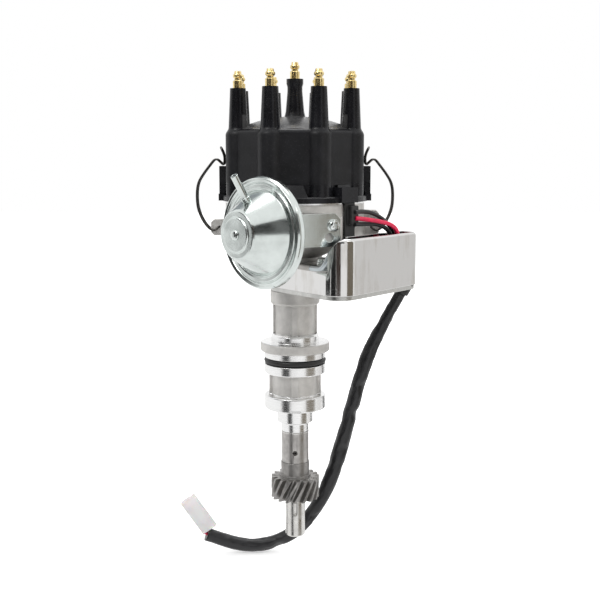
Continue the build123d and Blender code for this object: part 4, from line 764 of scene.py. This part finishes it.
class Tree:
    """A Geometry Nodes tree under construction, with its named inputs."""

    def __init__(self, name):
        self.group = bpy.data.node_groups.new(name, "GeometryNodeTree")
        self.keys = {}
        self.group.interface.new_socket("Geometry", in_out="OUTPUT", socket_type="NodeSocketGeometry")
        self.entry = self.group.nodes.new("NodeGroupInput")
        self.exit = self.group.nodes.new("NodeGroupOutput")

    def input(self, name, kind, value=None):
        socket = self.group.interface.new_socket(name, in_out="INPUT", socket_type="NodeSocket" + kind)
        if value is not None:
            socket.default_value = value
        self.keys[name] = socket.identifier
        return self.entry.outputs[name]

    def node(self, kind, **values):
        return add_node(self.group, kind, **values)

    def math(self, operation, *values):
        return add_math(self.group, operation, *values)

    def close(self, geometry, material):
        """Ends the tree in real geometry with its material."""
        real = self.node("GeometryNodeRealizeInstances", Geometry=geometry)
        coat = self.node("GeometryNodeSetMaterial", Geometry=real.outputs[0], Material=material)
        self.group.links.new(coat.outputs[0], self.exit.inputs[0])

    def grown(self, name, finish, base=None, **values):
        """The tree's result as a plain mesh; a value's name is its input's, with underscores."""
        holder = placed(name, base or bpy.data.meshes.new(name))
        grow = holder.modifiers.new("grow", "NODES")
        grow.node_group = self.group
        grow[self.keys["Material"]] = finish_of(finish)
        for key, value in values.items():
            grow[self.keys[key.replace("_", " ")]] = value
        mesh = plain_mesh(holder)
        bpy.data.objects.remove(holder)
        return mesh


def ring_tree():
    """Copies of a piece on a circle round the shaft."""
    tree = Tree("ring_of_pieces")
    piece = tree.input("Piece", "Object")
    count = tree.input("Count", "Int", 8)
    radius = tree.input("Circle radius", "Float", 38.9 * mm)
    first = tree.input("First angle", "Float", radians(22.5))
    height = tree.input("Height", "Float", 0.171)
    material = tree.input("Material", "Material")
    number = tree.node("GeometryNodeInputIndex").outputs[0]
    angle = tree.math("MULTIPLY_ADD", number, tree.math("DIVIDE", 2 * pi, count), first)
    place = tree.node("ShaderNodeCombineXYZ", X=tree.math("MULTIPLY", radius, tree.math("COSINE", angle)),
                      Y=tree.math("MULTIPLY", radius, tree.math("SINE", angle)), Z=height)
    points = tree.node("GeometryNodePoints", Count=count, Position=place.outputs[0])
    turn = tree.node("ShaderNodeCombineXYZ", Z=angle)
    source = tree.node("GeometryNodeObjectInfo", Object=piece)
    copies = tree.node("GeometryNodeInstanceOnPoints", Points=points.outputs[0],
                       Instance=source.outputs["Geometry"], Rotation=turn.outputs[0])
    tree.close(copies.outputs[0], material)
    return tree


def plane_tree():
    """Copies of a piece on the vertices of the base, each turned further, on a plane set in space."""
    tree = Tree("pieces_on_a_plane")
    base = tree.input("Spots", "Geometry")
    piece = tree.input("Piece", "Object")
    first = tree.input("First turn", "Float", 0.3)
    step = tree.input("Turn step", "Float", 0.8)
    origin = tree.input("Plane origin", "Vector")
    lean = tree.input("Plane turn", "Vector")
    material = tree.input("Material", "Material")
    number = tree.node("GeometryNodeInputIndex").outputs[0]
    turn = tree.node("ShaderNodeCombineXYZ", Z=tree.math("MULTIPLY_ADD", number, step, first))
    source = tree.node("GeometryNodeObjectInfo", Object=piece)
    copies = tree.node("GeometryNodeInstanceOnPoints", Points=base,
                       Instance=source.outputs["Geometry"], Rotation=turn.outputs[0])
    placed = tree.node("GeometryNodeTransform", Geometry=copies.outputs[0], Translation=origin, Rotation=lean)
    tree.close(placed.outputs[0], material)
    return tree


def spring_tree():
    """A coil spring between its two ends."""
    tree = Tree("coil_spring")
    turns = tree.input("Turns", "Float", 8.0)
    radius = tree.input("Coil radius", "Float", 3 * mm)
    wire = tree.input("Wire radius", "Float", 0.4 * mm)
    length = tree.input("Length", "Float", 20 * mm)
    origin = tree.input("Origin", "Vector")
    lean = tree.input("Turn", "Vector")
    material = tree.input("Material", "Material")
    inner = tree.math("SUBTRACT", radius, wire)
    rise = tree.math("SUBTRACT", length, tree.math("MULTIPLY", wire, 2.0))
    helix = tree.node("GeometryNodeCurveSpiral", Resolution=24, Rotations=turns, Start_Radius=inner,
                      End_Radius=inner, Height=rise)
    ring = tree.node("GeometryNodeCurvePrimitiveCircle", Resolution=10, Radius=wire)
    coil = tree.node("GeometryNodeCurveToMesh", Curve=helix.outputs[0], Profile_Curve=ring.outputs[0],
                     Fill_Caps=True)
    lift = tree.node("ShaderNodeCombineXYZ", Z=wire)
    raised = tree.node("GeometryNodeTransform", Geometry=coil.outputs[0], Translation=lift.outputs[0])
    placed = tree.node("GeometryNodeTransform", Geometry=raised.outputs[0], Translation=origin, Rotation=lean)
    smooth = tree.node("GeometryNodeSetShadeSmooth", Geometry=placed.outputs[0])
    tree.close(smooth.outputs[0], material)
    return tree


def screws_on_plane(name, node, screw, spots, first_turn, origin, lean):
    """Copies of a screw on their spots in a plane, in place of a node's plain screws."""
    base = bpy.data.meshes.new("spots")
    base.from_pydata([(x, y, 0) for x, y in spots], [], [])
    pattern = placed("pattern", screw)
    mesh = plane_tree().grown(name, "fastener", base, Piece=pattern, First_turn=first_turn,
                              Plane_origin=origin, Plane_turn=lean)
    settle(name, mesh, None, "body", (node,))
    bpy.data.objects.remove(pattern)


def plug_terminal_mesh():
    """Turned brass terminal: foot, neck, bulged head and two springy prongs."""
    profile = [(1.9, -3.0), (1.9, 0.0), (3.15, 0.0), (3.15, 4.5), (2.95, 4.75), (2.3, 4.9), (2.22, 5.6),
               (2.3, 6.3), (2.75, 6.6), (3.02, 7.0), (3.1, 7.5), (3.06, 8.1), (2.86, 8.6), (2.42, 8.85),
               (2.3, 9.1), (2.26, 10.1), (2.05, 10.5), (1.6, 10.7)]
    body = turned_mesh("plug_terminal", [(radius * mm, height * mm) for radius, height in profile])
    slit = block_mesh("slit", (-0.42 * mm, -5 * mm, 6.4 * mm), (0.42 * mm, 5 * mm, 12 * mm))
    bore = turned_mesh("bore", [(0.75 * mm, 4 * mm), (0.75 * mm, 12 * mm)], 20)
    return carved(body, [slit, bore], 0.12 * mm)


def pan_screw_mesh(washer_height, head_height, shank):
    """Cross-recessed pan-head screw on its washer."""
    top = washer_height + head_height
    profile = [(1.9, -shank), (1.9, 0.0), (3.85, 0.0), (4.0, 0.12), (4.0, washer_height - 0.15),
               (3.85, washer_height), (3.3, washer_height), (3.4, washer_height + 0.3),
               (3.38, washer_height + 0.45 * head_height), (3.0, washer_height + 0.78 * head_height),
               (2.2, top - 0.12), (1.2, top)]
    body = turned_mesh("pan_screw", [(radius * mm, height * mm) for radius, height in profile])
    low = (-0.45 * mm, -2.0 * mm, (top - 1.3) * mm)
    high = (0.45 * mm, 2.0 * mm, (top + 0.5) * mm)
    cutters = [block_mesh("recess", low, high, turn, 0.7) for turn in (0.0, pi / 2)]
    return carved(body, cutters, 0.12 * mm)


class DISTRIBUTOR_OT_camera(bpy.types.Operator):
    """Put the camera at the front of the distributor, looking slightly down"""

    bl_idname = "distributor.camera"
    bl_label = "Camera"

    def execute(self, context):
        camera = bpy.data.cameras.new("camera")
        camera.sensor_width = 36
        camera.lens = sizes().camera_lens
        camera.clip_start = 0.01
        holder = placed("camera", camera)
        holder.location = CAMERA_PLACE
        holder.rotation_euler = (pi / 2 - sizes().camera_pitch, 0, 0)
        context.scene.camera = holder
        return {"FINISHED"}


class DISTRIBUTOR_OT_harness(bpy.types.Operator):
    """Make the sleeved harness, from its gland to its connector"""

    bl_idname = "distributor.harness"
    bl_label = "Harness"

    def execute(self, context):
        points = even_points(smooth_line(HARNESS_ROUTE), 0.0011)
        length = line_length(points)
        radius = sizes().sleeve_diameter / 2
        crease = sizes().sleeve_crease

        def sleeve_radius(distance, angle):
            """Narrow at the gland, flattened further on, with creases where it has been bent."""
            swell = 0.80 + 0.22 * min(1.0, distance / 0.055) + 0.10 * exp(-((distance - 0.11) / 0.05) ** 2)
            lean = 2.2 * noise.noise(Vector((distance * 16, 3.1, 0.0)))
            flat = 0.05 + 0.14 * noise.noise(Vector((distance * 22, 0.0, 7.7)))
            oval = 1.0 + flat * cos(2 * (angle - lean))
            fold = noise.noise(Vector((cos(angle) * 1.1, sin(angle) * 1.1, distance * 95)))
            fine = noise.noise(Vector((cos(angle) * 2.4, sin(angle) * 2.4, distance * 260)))
            pinch = sum(exp(-((distance - place) / 0.0035) ** 2) * max(0.0, cos(angle - turn)) ** 2
                        for place, turn in SLEEVE_FOLDS)
            ease = min(1.0, min(distance, length - distance) / 0.012)
            depth = max(0.0, fold) ** 1.2 + 0.22 * fine + 1.5 * pinch
            return radius * swell * oval - ease * crease * depth

        mesh = tube_mesh("harness_tube", points, sleeve_radius, 40)
        sleeve = settle("harness_tube", mesh, "sleeve", "body", ("harness_sleeve",))
        shell = dressed("connector_shell", "connector_body", "nylon", "body", 0.35 * mm)
        wires = dressed("connector_wires", "connector_leads", "red", "body")
        low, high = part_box("connector_shell")
        pivot = Vector((high.x, (low.y + high.y) / 2, low.z))
        lean = Matrix.Rotation(-CONNECTOR_LEAN, 3, "Y")
        for vertex in shell.data.vertices:
            vertex.co = pivot + lean @ (vertex.co - pivot) + CONNECTOR_SHIFT
        for vertex in wires.data.vertices:
            vertex.co += CONNECTOR_SHIFT * WIRE_SHARE
        gland = dressed("harness_gland", "gland_collar", "rubber", "body", 0.3 * mm)
        return {"FINISHED"}


class DISTRIBUTOR_OT_pickup_leads(bpy.types.Operator):
    """Make the grommet and the pickup leads that run into the module case"""

    bl_idname = "distributor.pickup_leads"
    bl_label = "Pickup leads"

    def execute(self, context):
        radius = sizes().lead_diameter / 2
        dressed("pickup_grommet", "grommet_block", "rubber", "body", 0.5 * mm)
        for name, route, finish, slot, node in (
            ("red_pickup_lead", RED_ROUTE, "red", "red_insulation", "red_lead"),
            ("upper_black_lead", UPPER_BLACK_ROUTE, "black", "black_rubber", "black_leads"),
            ("lower_black_lead", LOWER_BLACK_ROUTE, "black", "black_rubber", "black_leads"),
        ):
            points = even_points(smooth_line(route), 0.0008)
            mesh = tube_mesh(name, points, lambda distance, angle: radius, 24)
            lead = settle(name, mesh, finish, "body", (node,))
        return {"FINISHED"}


class DISTRIBUTOR_OT_housing(bpy.types.Operator):
    """Dress the housing and its O-ring"""

    bl_idname = "distributor.housing"
    bl_label = "Housing"

    def execute(self, context):
        dressed("housing", "housing_casting", "housing", "body", 0.25 * mm, radians(35))
        dressed("shank_o_ring", "seal_ring", "rubber", "body")
        return {"FINISHED"}


class DISTRIBUTOR_OT_drive(bpy.types.Operator):
    """Dress the shaft, the collar, the gear and their pins"""

    bl_idname = "distributor.drive"
    bl_label = "Drive"

    def execute(self, context):
        dressed("drive_shaft", "ground_shaft", "shaft", "shaft", 0.15 * mm)
        dressed("drive_gear", "helical_gear", "gear", "shaft", 0.18 * mm, radians(25))
        dressed("shaft_collar", "pinned_collar", "collar", "shaft", 0.2 * mm)
        dressed("collar_pin", "collar_roll_pin", "wire", "shaft")
        dressed("gear_pin", "gear_roll_pin", "wire", "shaft")
        dressed("thrust_washer", "thrust_ring", "shaft", "shaft", 0.1 * mm)
        return {"FINISHED"}


class DISTRIBUTOR_OT_cap(bpy.types.Operator):
    """Dress the distributor cap"""

    bl_idname = "distributor.cap"
    bl_label = "Cap"

    def execute(self, context):
        dressed("distributor_cap", "moulded_cap", "moulding", "body", 0.0, radians(28))
        return {"FINISHED"}


class DISTRIBUTOR_OT_terminals(bpy.types.Operator):
    """Make the brass terminals on the cap's towers"""

    bl_idname = "distributor.terminals"
    bl_label = "Terminals"

    def execute(self, context):
        pattern = placed("pattern", plug_terminal_mesh())
        tree = ring_tree()
        ring = tree.grown("plug_terminals", "brass", Piece=pattern, Count=sizes().tower_count,
                          Circle_radius=sizes().tower_circle, Height=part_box("distributor_cap")[0].z + TOWER_RISE)
        settle("plug_terminals", ring, None, "body", ("outer_terminals",))
        middle = tree.grown("coil_terminal", "brass", Piece=pattern, Count=1, Circle_radius=0.0,
                            Height=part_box("distributor_cap")[1].z)
        settle("coil_terminal", middle, None, "body", ("centre_terminal",))
        bpy.data.objects.remove(pattern)
        return {"FINISHED"}


class DISTRIBUTOR_OT_canister(bpy.types.Operator):
    """Dress the vacuum canister, its nipple and its bracket"""

    bl_idname = "distributor.canister"
    bl_label = "Vacuum canister"

    def execute(self, context):
        dressed("canister_front", "canister_dome", "zinc", "body", 0.4 * mm, radians(20), 3)
        dressed("canister_back", "canister_shell", "zinc", "body", 0.3 * mm)
        dressed("dome_rivet", "hub_rivet", "zinc", "body", 0.3 * mm)
        dressed("hose_nipple", "steel_nipple", "zinc", "body", 0.15 * mm)
        dressed("canister_bracket", "bracket_plate", "zinc", "body", 0.2 * mm)
        middle = (sin(BRACKET_ANGLE) * BRACKET_OUT, -cos(BRACKET_ANGLE) * BRACKET_OUT, BRACKET_MIDDLE)
        screws_on_plane("bracket_fasteners", "bracket_screws", pan_screw_mesh(0.8, 2.2, 1.6), BRACKET_SCREWS,
                        0.5, middle, (pi / 2, 0, BRACKET_ANGLE))
        return {"FINISHED"}


class DISTRIBUTOR_OT_module_case(bpy.types.Operator):
    """Dress the module case, its base plate and its screws"""

    bl_idname = "distributor.module_case"
    bl_label = "Module case"

    def execute(self, context):
        dressed("module_case", "chromed_case", "chrome", "body", 0.4 * mm, segments=3)
        outward = Vector((sin(CASE_TURN), -cos(CASE_TURN), 0))
        sideways = Vector((cos(CASE_TURN), sin(CASE_TURN), 0))
        rim = [outward * out + sideways * along + Vector((0, 0, height)) for out, along, height in CASE_RIM]
        points = even_points(smooth_line(rim), 0.7 * mm)
        mesh = tube_mesh("case_rim", points, lambda distance, angle: RIM_RADIUS, 20)
        # The rim's finish is a darker blue-grey plate: painted reflected shade on the case's rounded edge
        settle("case_rim", mesh, "rim", "body")
        dressed("module_base_plate", "case_bottom", "plate", "body", 0.3 * mm)
        screws_on_plane("case_fasteners", "case_screws", pan_screw_mesh(1.0, 3.0, 20.5), CASE_SCREWS, 0.2,
                        (0, 0, LEDGE_LEVEL), (0, 0, CASE_TURN))
        return {"FINISHED"}


class DISTRIBUTOR_OT_bails(bpy.types.Operator):
    """Bend the wire clips on both sides of the bowl"""

    bl_idname = "distributor.bails"
    bl_label = "Bail clips"

    def execute(self, context):
        radius = sizes().bail_wire / 2
        leg = [(BAIL_ROUTE[0][0], 0.0010, BAIL_ROUTE[0][1])]
        leg += [(out, BAIL_HALF_WIDTH, height) for out, height in BAIL_ROUTE]
        loop = leg + [(out, -across, height) for out, across, height in reversed(leg)]
        for node, name, body, side in (("left_bail", "left_wire_clip", "left_clip", -1),
                                       ("right_bail", "right_wire_clip", "right_clip", 1)):
            points = even_points(smooth_line([Vector((side * x, y, z)) for x, y, z in loop]), 0.8 * mm)
            mesh = tube_mesh(name, points, lambda distance, angle: radius, 16)
            settle(name, mesh, "wire", body, (node,))
        return {"FINISHED"}


class DISTRIBUTOR_OT_springs(bpy.types.Operator):
    """Make the coil springs of the button, the diaphragm and the advance"""

    bl_idname = "distributor.springs"
    bl_label = "Springs"

    def execute(self, context):
        tree = spring_tree()
        low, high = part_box("carbon_spring")
        mesh = tree.grown("button_spring", "wire", Turns=11.0, Coil_radius=2.7 * mm, Wire_radius=0.3 * mm,
                          Length=high.z - low.z, Origin=(0, 0, low.z))
        spring = settle("button_spring", mesh, None, "body", ("carbon_spring",))
        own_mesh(spring)
        lean = Vector((-1, -1, 0)).normalized()
        foot = Vector(CANISTER_MIDDLE) + lean * (0.4 * mm)
        mesh = tree.grown("diaphragm_spring", "wire", Turns=6.0, Coil_radius=8.0 * mm, Wire_radius=0.6 * mm,
                          Length=DIAPHRAGM_SPRING * mm, Origin=tuple(foot), Turn=(pi / 2, 0, -pi / 4))
        spring = settle("diaphragm_spring", mesh, None, "body", ("vacuum_spring",))
        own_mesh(spring)
        ends = []
        for side in (1, -1):
            hook, post = (Vector((x * side, y * side, ADVANCE_SPRING_LEVEL)) * mm
                          for x, y in (ADVANCE_HOOK, ADVANCE_POST))
            run = post - hook
            turn = run.to_track_quat("Z", "Y").to_euler()
            ends.append(tree.grown("advance_spring", "wire", Turns=9.0, Coil_radius=1.3 * mm,
                                   Wire_radius=0.25 * mm, Length=run.length, Origin=tuple(hook),
                                   Turn=tuple(turn)))
        work = bmesh.new()
        for mesh in ends:
            work.from_mesh(mesh)
        work.to_mesh(ends[0])
        work.free()
        settle("advance_return_springs", ends[0], None, "advance", ("advance_springs",))
        return {"FINISHED"}


class DISTRIBUTOR_OT_inside(bpy.types.Operator):
    """Give the parts inside their finishes"""

    bl_idname = "distributor.inside"
    bl_label = "Parts inside"

    def execute(self, context):
        inside = {
            "upper_bush": "bronze", "lower_bush": "bronze", "ignition_module": "potting",
            "cap_electrodes": "brass", "carbon_button": "carbon", "diaphragm": "rubber",
            "fixed_plate": "zinc", "plate_screws": "zinc", "pickup_plate": "zinc", "pickup_coil": "coil",
            "pickup_magnet": "gear", "pole_piece": "zinc", "vacuum_rod": "zinc", "advance_cam": "shaft",
            "advance_sleeve": "zinc", "reluctor": "gear", "reluctor_pin": "shaft", "rotor": "moulding",
            "rotor_blade": "brass", "rotor_screws": "zinc", "weight_1": "zinc", "weight_2": "zinc",
        }
        for node, finish in inside.items():
            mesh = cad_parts[node].data
            mesh.materials.clear()
            mesh.materials.append(finish_of(finish))
        return {"FINISHED"}


def seen_rays(tree):
    """One where the camera sees a surface, itself, mirrored or through another, and zero elsewhere."""
    rays = add_node(tree, "ShaderNodeLightPath").outputs
    plain = add_math(tree, "MAXIMUM", rays["Is Camera Ray"], rays["Is Glossy Ray"])
    return add_math(tree, "MAXIMUM", plain, rays["Is Transmission Ray"])


def soft_lamp(name, place, width, height, power):
    lamp = bpy.data.lights.new(name, "AREA")
    lamp.shape = "RECTANGLE"
    lamp.size = width
    lamp.size_y = height
    lamp.energy = power
    holder = placed(name, lamp)
    holder.location = place
    holder.rotation_euler = (Vector(LAMP_AIM) - Vector(place)).to_track_quat("-Z", "Y").to_euler()


def upright(azimuth, half_angle, low, high, distance):
    """Middle, side and up vectors of a card that stands round the object."""
    middle = Vector((sin(azimuth) * distance, -cos(azimuth) * distance, (low + high) / 2))
    side = Vector((cos(azimuth), sin(azimuth), 0)) * (distance * tan(half_angle))
    return middle, side, Vector((0, 0, (high - low) / 2))


def overhead(toward, distance, half_width, half_height):
    """Middle, side and up vectors of a card that hangs in a direction and faces the object."""
    toward = Vector(toward).normalized()
    side = toward.cross(Vector((0, 0, 1))).normalized()
    return toward * distance, side * half_width, side.cross(toward) * half_height


def bare_material(name):
    """A new material with an empty node tree."""
    material = bpy.data.materials.new(name)
    material.use_nodes = True
    material.node_tree.nodes.clear()
    return material


def card_piece(name, middle, side, up, material):
    """A flat card of the stage, with the vectors from its middle to its side and its top."""
    work = bmesh.new()
    corners = ((-1, -1), (1, -1), (1, 1), (-1, 1))
    work.faces.new([work.verts.new(middle + side * x + up * z) for x, z in corners])
    mesh = mesh_of(work, name)
    mesh.materials.append(material)
    card = placed(name, mesh)
    return card


def flag(name, middle, side, up, tone):
    """A studio flag that only reflections show, for the dark bands on the bright metal."""
    material = bare_material(name)
    glow = add_node(material.node_tree, "ShaderNodeEmission", Color=(*tone, 1))
    add_node(material.node_tree, "ShaderNodeOutputMaterial", Surface=glow.outputs[0])
    card = card_piece(name, middle, side, up, material)
    card.visible_camera = False
    card.visible_diffuse = False
    card.visible_shadow = False
    card.visible_transmission = False


def studio_surround():
    """White where it is seen or mirrored, and dimmer as light."""
    world = bpy.data.worlds.new("studio_surround")
    bpy.context.scene.world = world
    world.use_nodes = True
    tree = world.node_tree
    tree.nodes.clear()
    strength = add_node(tree, "ShaderNodeMapRange", Value=seen_rays(tree), To_Min=SURROUND_LIGHT, To_Max=1.0)
    background = add_node(tree, "ShaderNodeBackground", Color=(1, 1, 1, 1), Strength=strength.outputs["Result"])
    add_node(tree, "ShaderNodeOutputWorld", Surface=background.outputs[0])


def pale_floor():
    """Matte floor that keeps the shadow and fades to white away from the object."""
    material = bare_material("pale_floor")
    tree = material.node_tree
    matte = add_node(tree, "ShaderNodeBsdfDiffuse", Color=(0.86, 0.86, 0.86, 1))
    place = add_node(tree, "ShaderNodeTexCoord").outputs["Object"]
    reach = add_node(tree, "ShaderNodeVectorMath", {"operation": "LENGTH"}, Vector=place)
    fade = add_node(tree, "ShaderNodeMapRange", Value=reach.outputs["Value"], From_Min=0.22, From_Max=0.6,
                    To_Min=0.42, To_Max=1.0)
    lift = add_math(tree, "MULTIPLY", seen_rays(tree), fade.outputs["Result"])
    glow = add_node(tree, "ShaderNodeEmission", Strength=lift)
    both = add_node(tree, "ShaderNodeAddShader")
    for socket, source in zip(both.inputs, (matte, glow)):
        tree.links.new(source.outputs[0], socket)
    add_node(tree, "ShaderNodeOutputMaterial", Surface=both.outputs[0])
    middle = Vector((0, 0, cad_box[0].z - FLOOR_GAP))
    floor = card_piece("pale_floor", middle, Vector((FLOOR_REACH, 0, 0)), Vector((0, FLOOR_REACH, 0)), material)
    floor.visible_glossy = False


# Flags round the object: azimuth from the front to the right, half angle, low, high, distance, colour
FLAGS = (
    ("left_flag", -34, 15, -0.6, 0.7, 0.80, (0.02, 0.02, 0.02)),
    ("left_high_flag", -66, 17, -0.03, 0.40, 0.45, (0.03, 0.03, 0.03)),
    ("front_flag", -6, 12, -0.075, 0.60, 0.76, (0.05, 0.035, 0.03)),
    ("cap_flag", 15, 11, 0.075, 0.60, 0.76, (0.02, 0.02, 0.02)),
    ("right_flag", 60, 19, -0.6, 0.7, 0.80, (0.19, 0.165, 0.13)),
    ("case_flag", 103, 14, -0.3, 0.4, 0.80, (0.74, 0.73, 0.72)),
)
# Cards above the object: direction, distance, half width, half height, colour
CARDS = (
    ("canister_card", (-0.30, 0.62, 0.70), 0.80, 0.15, 0.25, (0.30, 0.32, 0.34)),
)


class DISTRIBUTOR_OT_studio(bpy.types.Operator):
    """Make the pale floor, the white surround and the soft lamps"""

    bl_idname = "distributor.studio"
    bl_label = "Studio"

    def execute(self, context):
        studio_surround()
        context.scene.view_settings.view_transform = "Standard"
        pale_floor()
        soft_lamp("key_lamp", (-0.75, -0.95, 0.95), 0.7, 0.7, 9.0)
        soft_lamp("fill_lamp", (1.0, -0.5, 0.5), 0.6, 0.9, 5.0)
        soft_lamp("top_lamp", (0.1, 0.3, 1.3), 0.9, 0.9, 8.0)
        for name, azimuth, half_angle, low, high, distance, tone in FLAGS:
            flag(name, *upright(radians(azimuth), radians(half_angle), low, high, distance), tone)
        for name, toward, distance, half_width, half_height, tone in CARDS:
            flag(name, *overhead(toward, distance, half_width, half_height), tone)
        return {"FINISHED"}


class DISTRIBUTOR_PT_panel(bpy.types.Panel):
    """Lists the pieces of the distributor"""

    bl_label = "Distributor"
    bl_idname = "DISTRIBUTOR_PT_panel"
    bl_space_type = "VIEW_3D"
    bl_region_type = "UI"
    bl_category = "Distributor"

    def draw(self, context):
        layout = self.layout
        for group in (context.scene.distributor_sizes, context.scene.distributor_colours):
            column = layout.column()
            for name in group.__annotations__:
                column.prop(group, name)
        for operator in OPERATORS:
            layout.operator(operator.bl_idname)


OPERATORS = (
    DISTRIBUTOR_OT_camera,
    DISTRIBUTOR_OT_harness,
    DISTRIBUTOR_OT_pickup_leads,
    DISTRIBUTOR_OT_housing,
    DISTRIBUTOR_OT_drive,
    DISTRIBUTOR_OT_cap,
    DISTRIBUTOR_OT_terminals,
    DISTRIBUTOR_OT_canister,
    DISTRIBUTOR_OT_module_case,
    DISTRIBUTOR_OT_bails,
    DISTRIBUTOR_OT_springs,
    DISTRIBUTOR_OT_inside,
    DISTRIBUTOR_OT_studio,
)
CLASSES = (DistributorSizes, DistributorColours, *OPERATORS, DISTRIBUTOR_PT_panel)


def register():
    for item in CLASSES:
        bpy.utils.register_class(item)
    bpy.types.Scene.distributor_sizes = bpy.props.PointerProperty(type=DistributorSizes)
    bpy.types.Scene.distributor_colours = bpy.props.PointerProperty(type=DistributorColours)


def unregister():
    del bpy.types.Scene.distributor_colours
    del bpy.types.Scene.distributor_sizes
    for item in reversed(CLASSES):
        bpy.utils.unregister_class(item)


def main():
    register()
    for operator in OPERATORS:
        getattr(bpy.ops.distributor, operator.bl_idname.split(".")[1])()


if __name__ == "__main__":
    main()
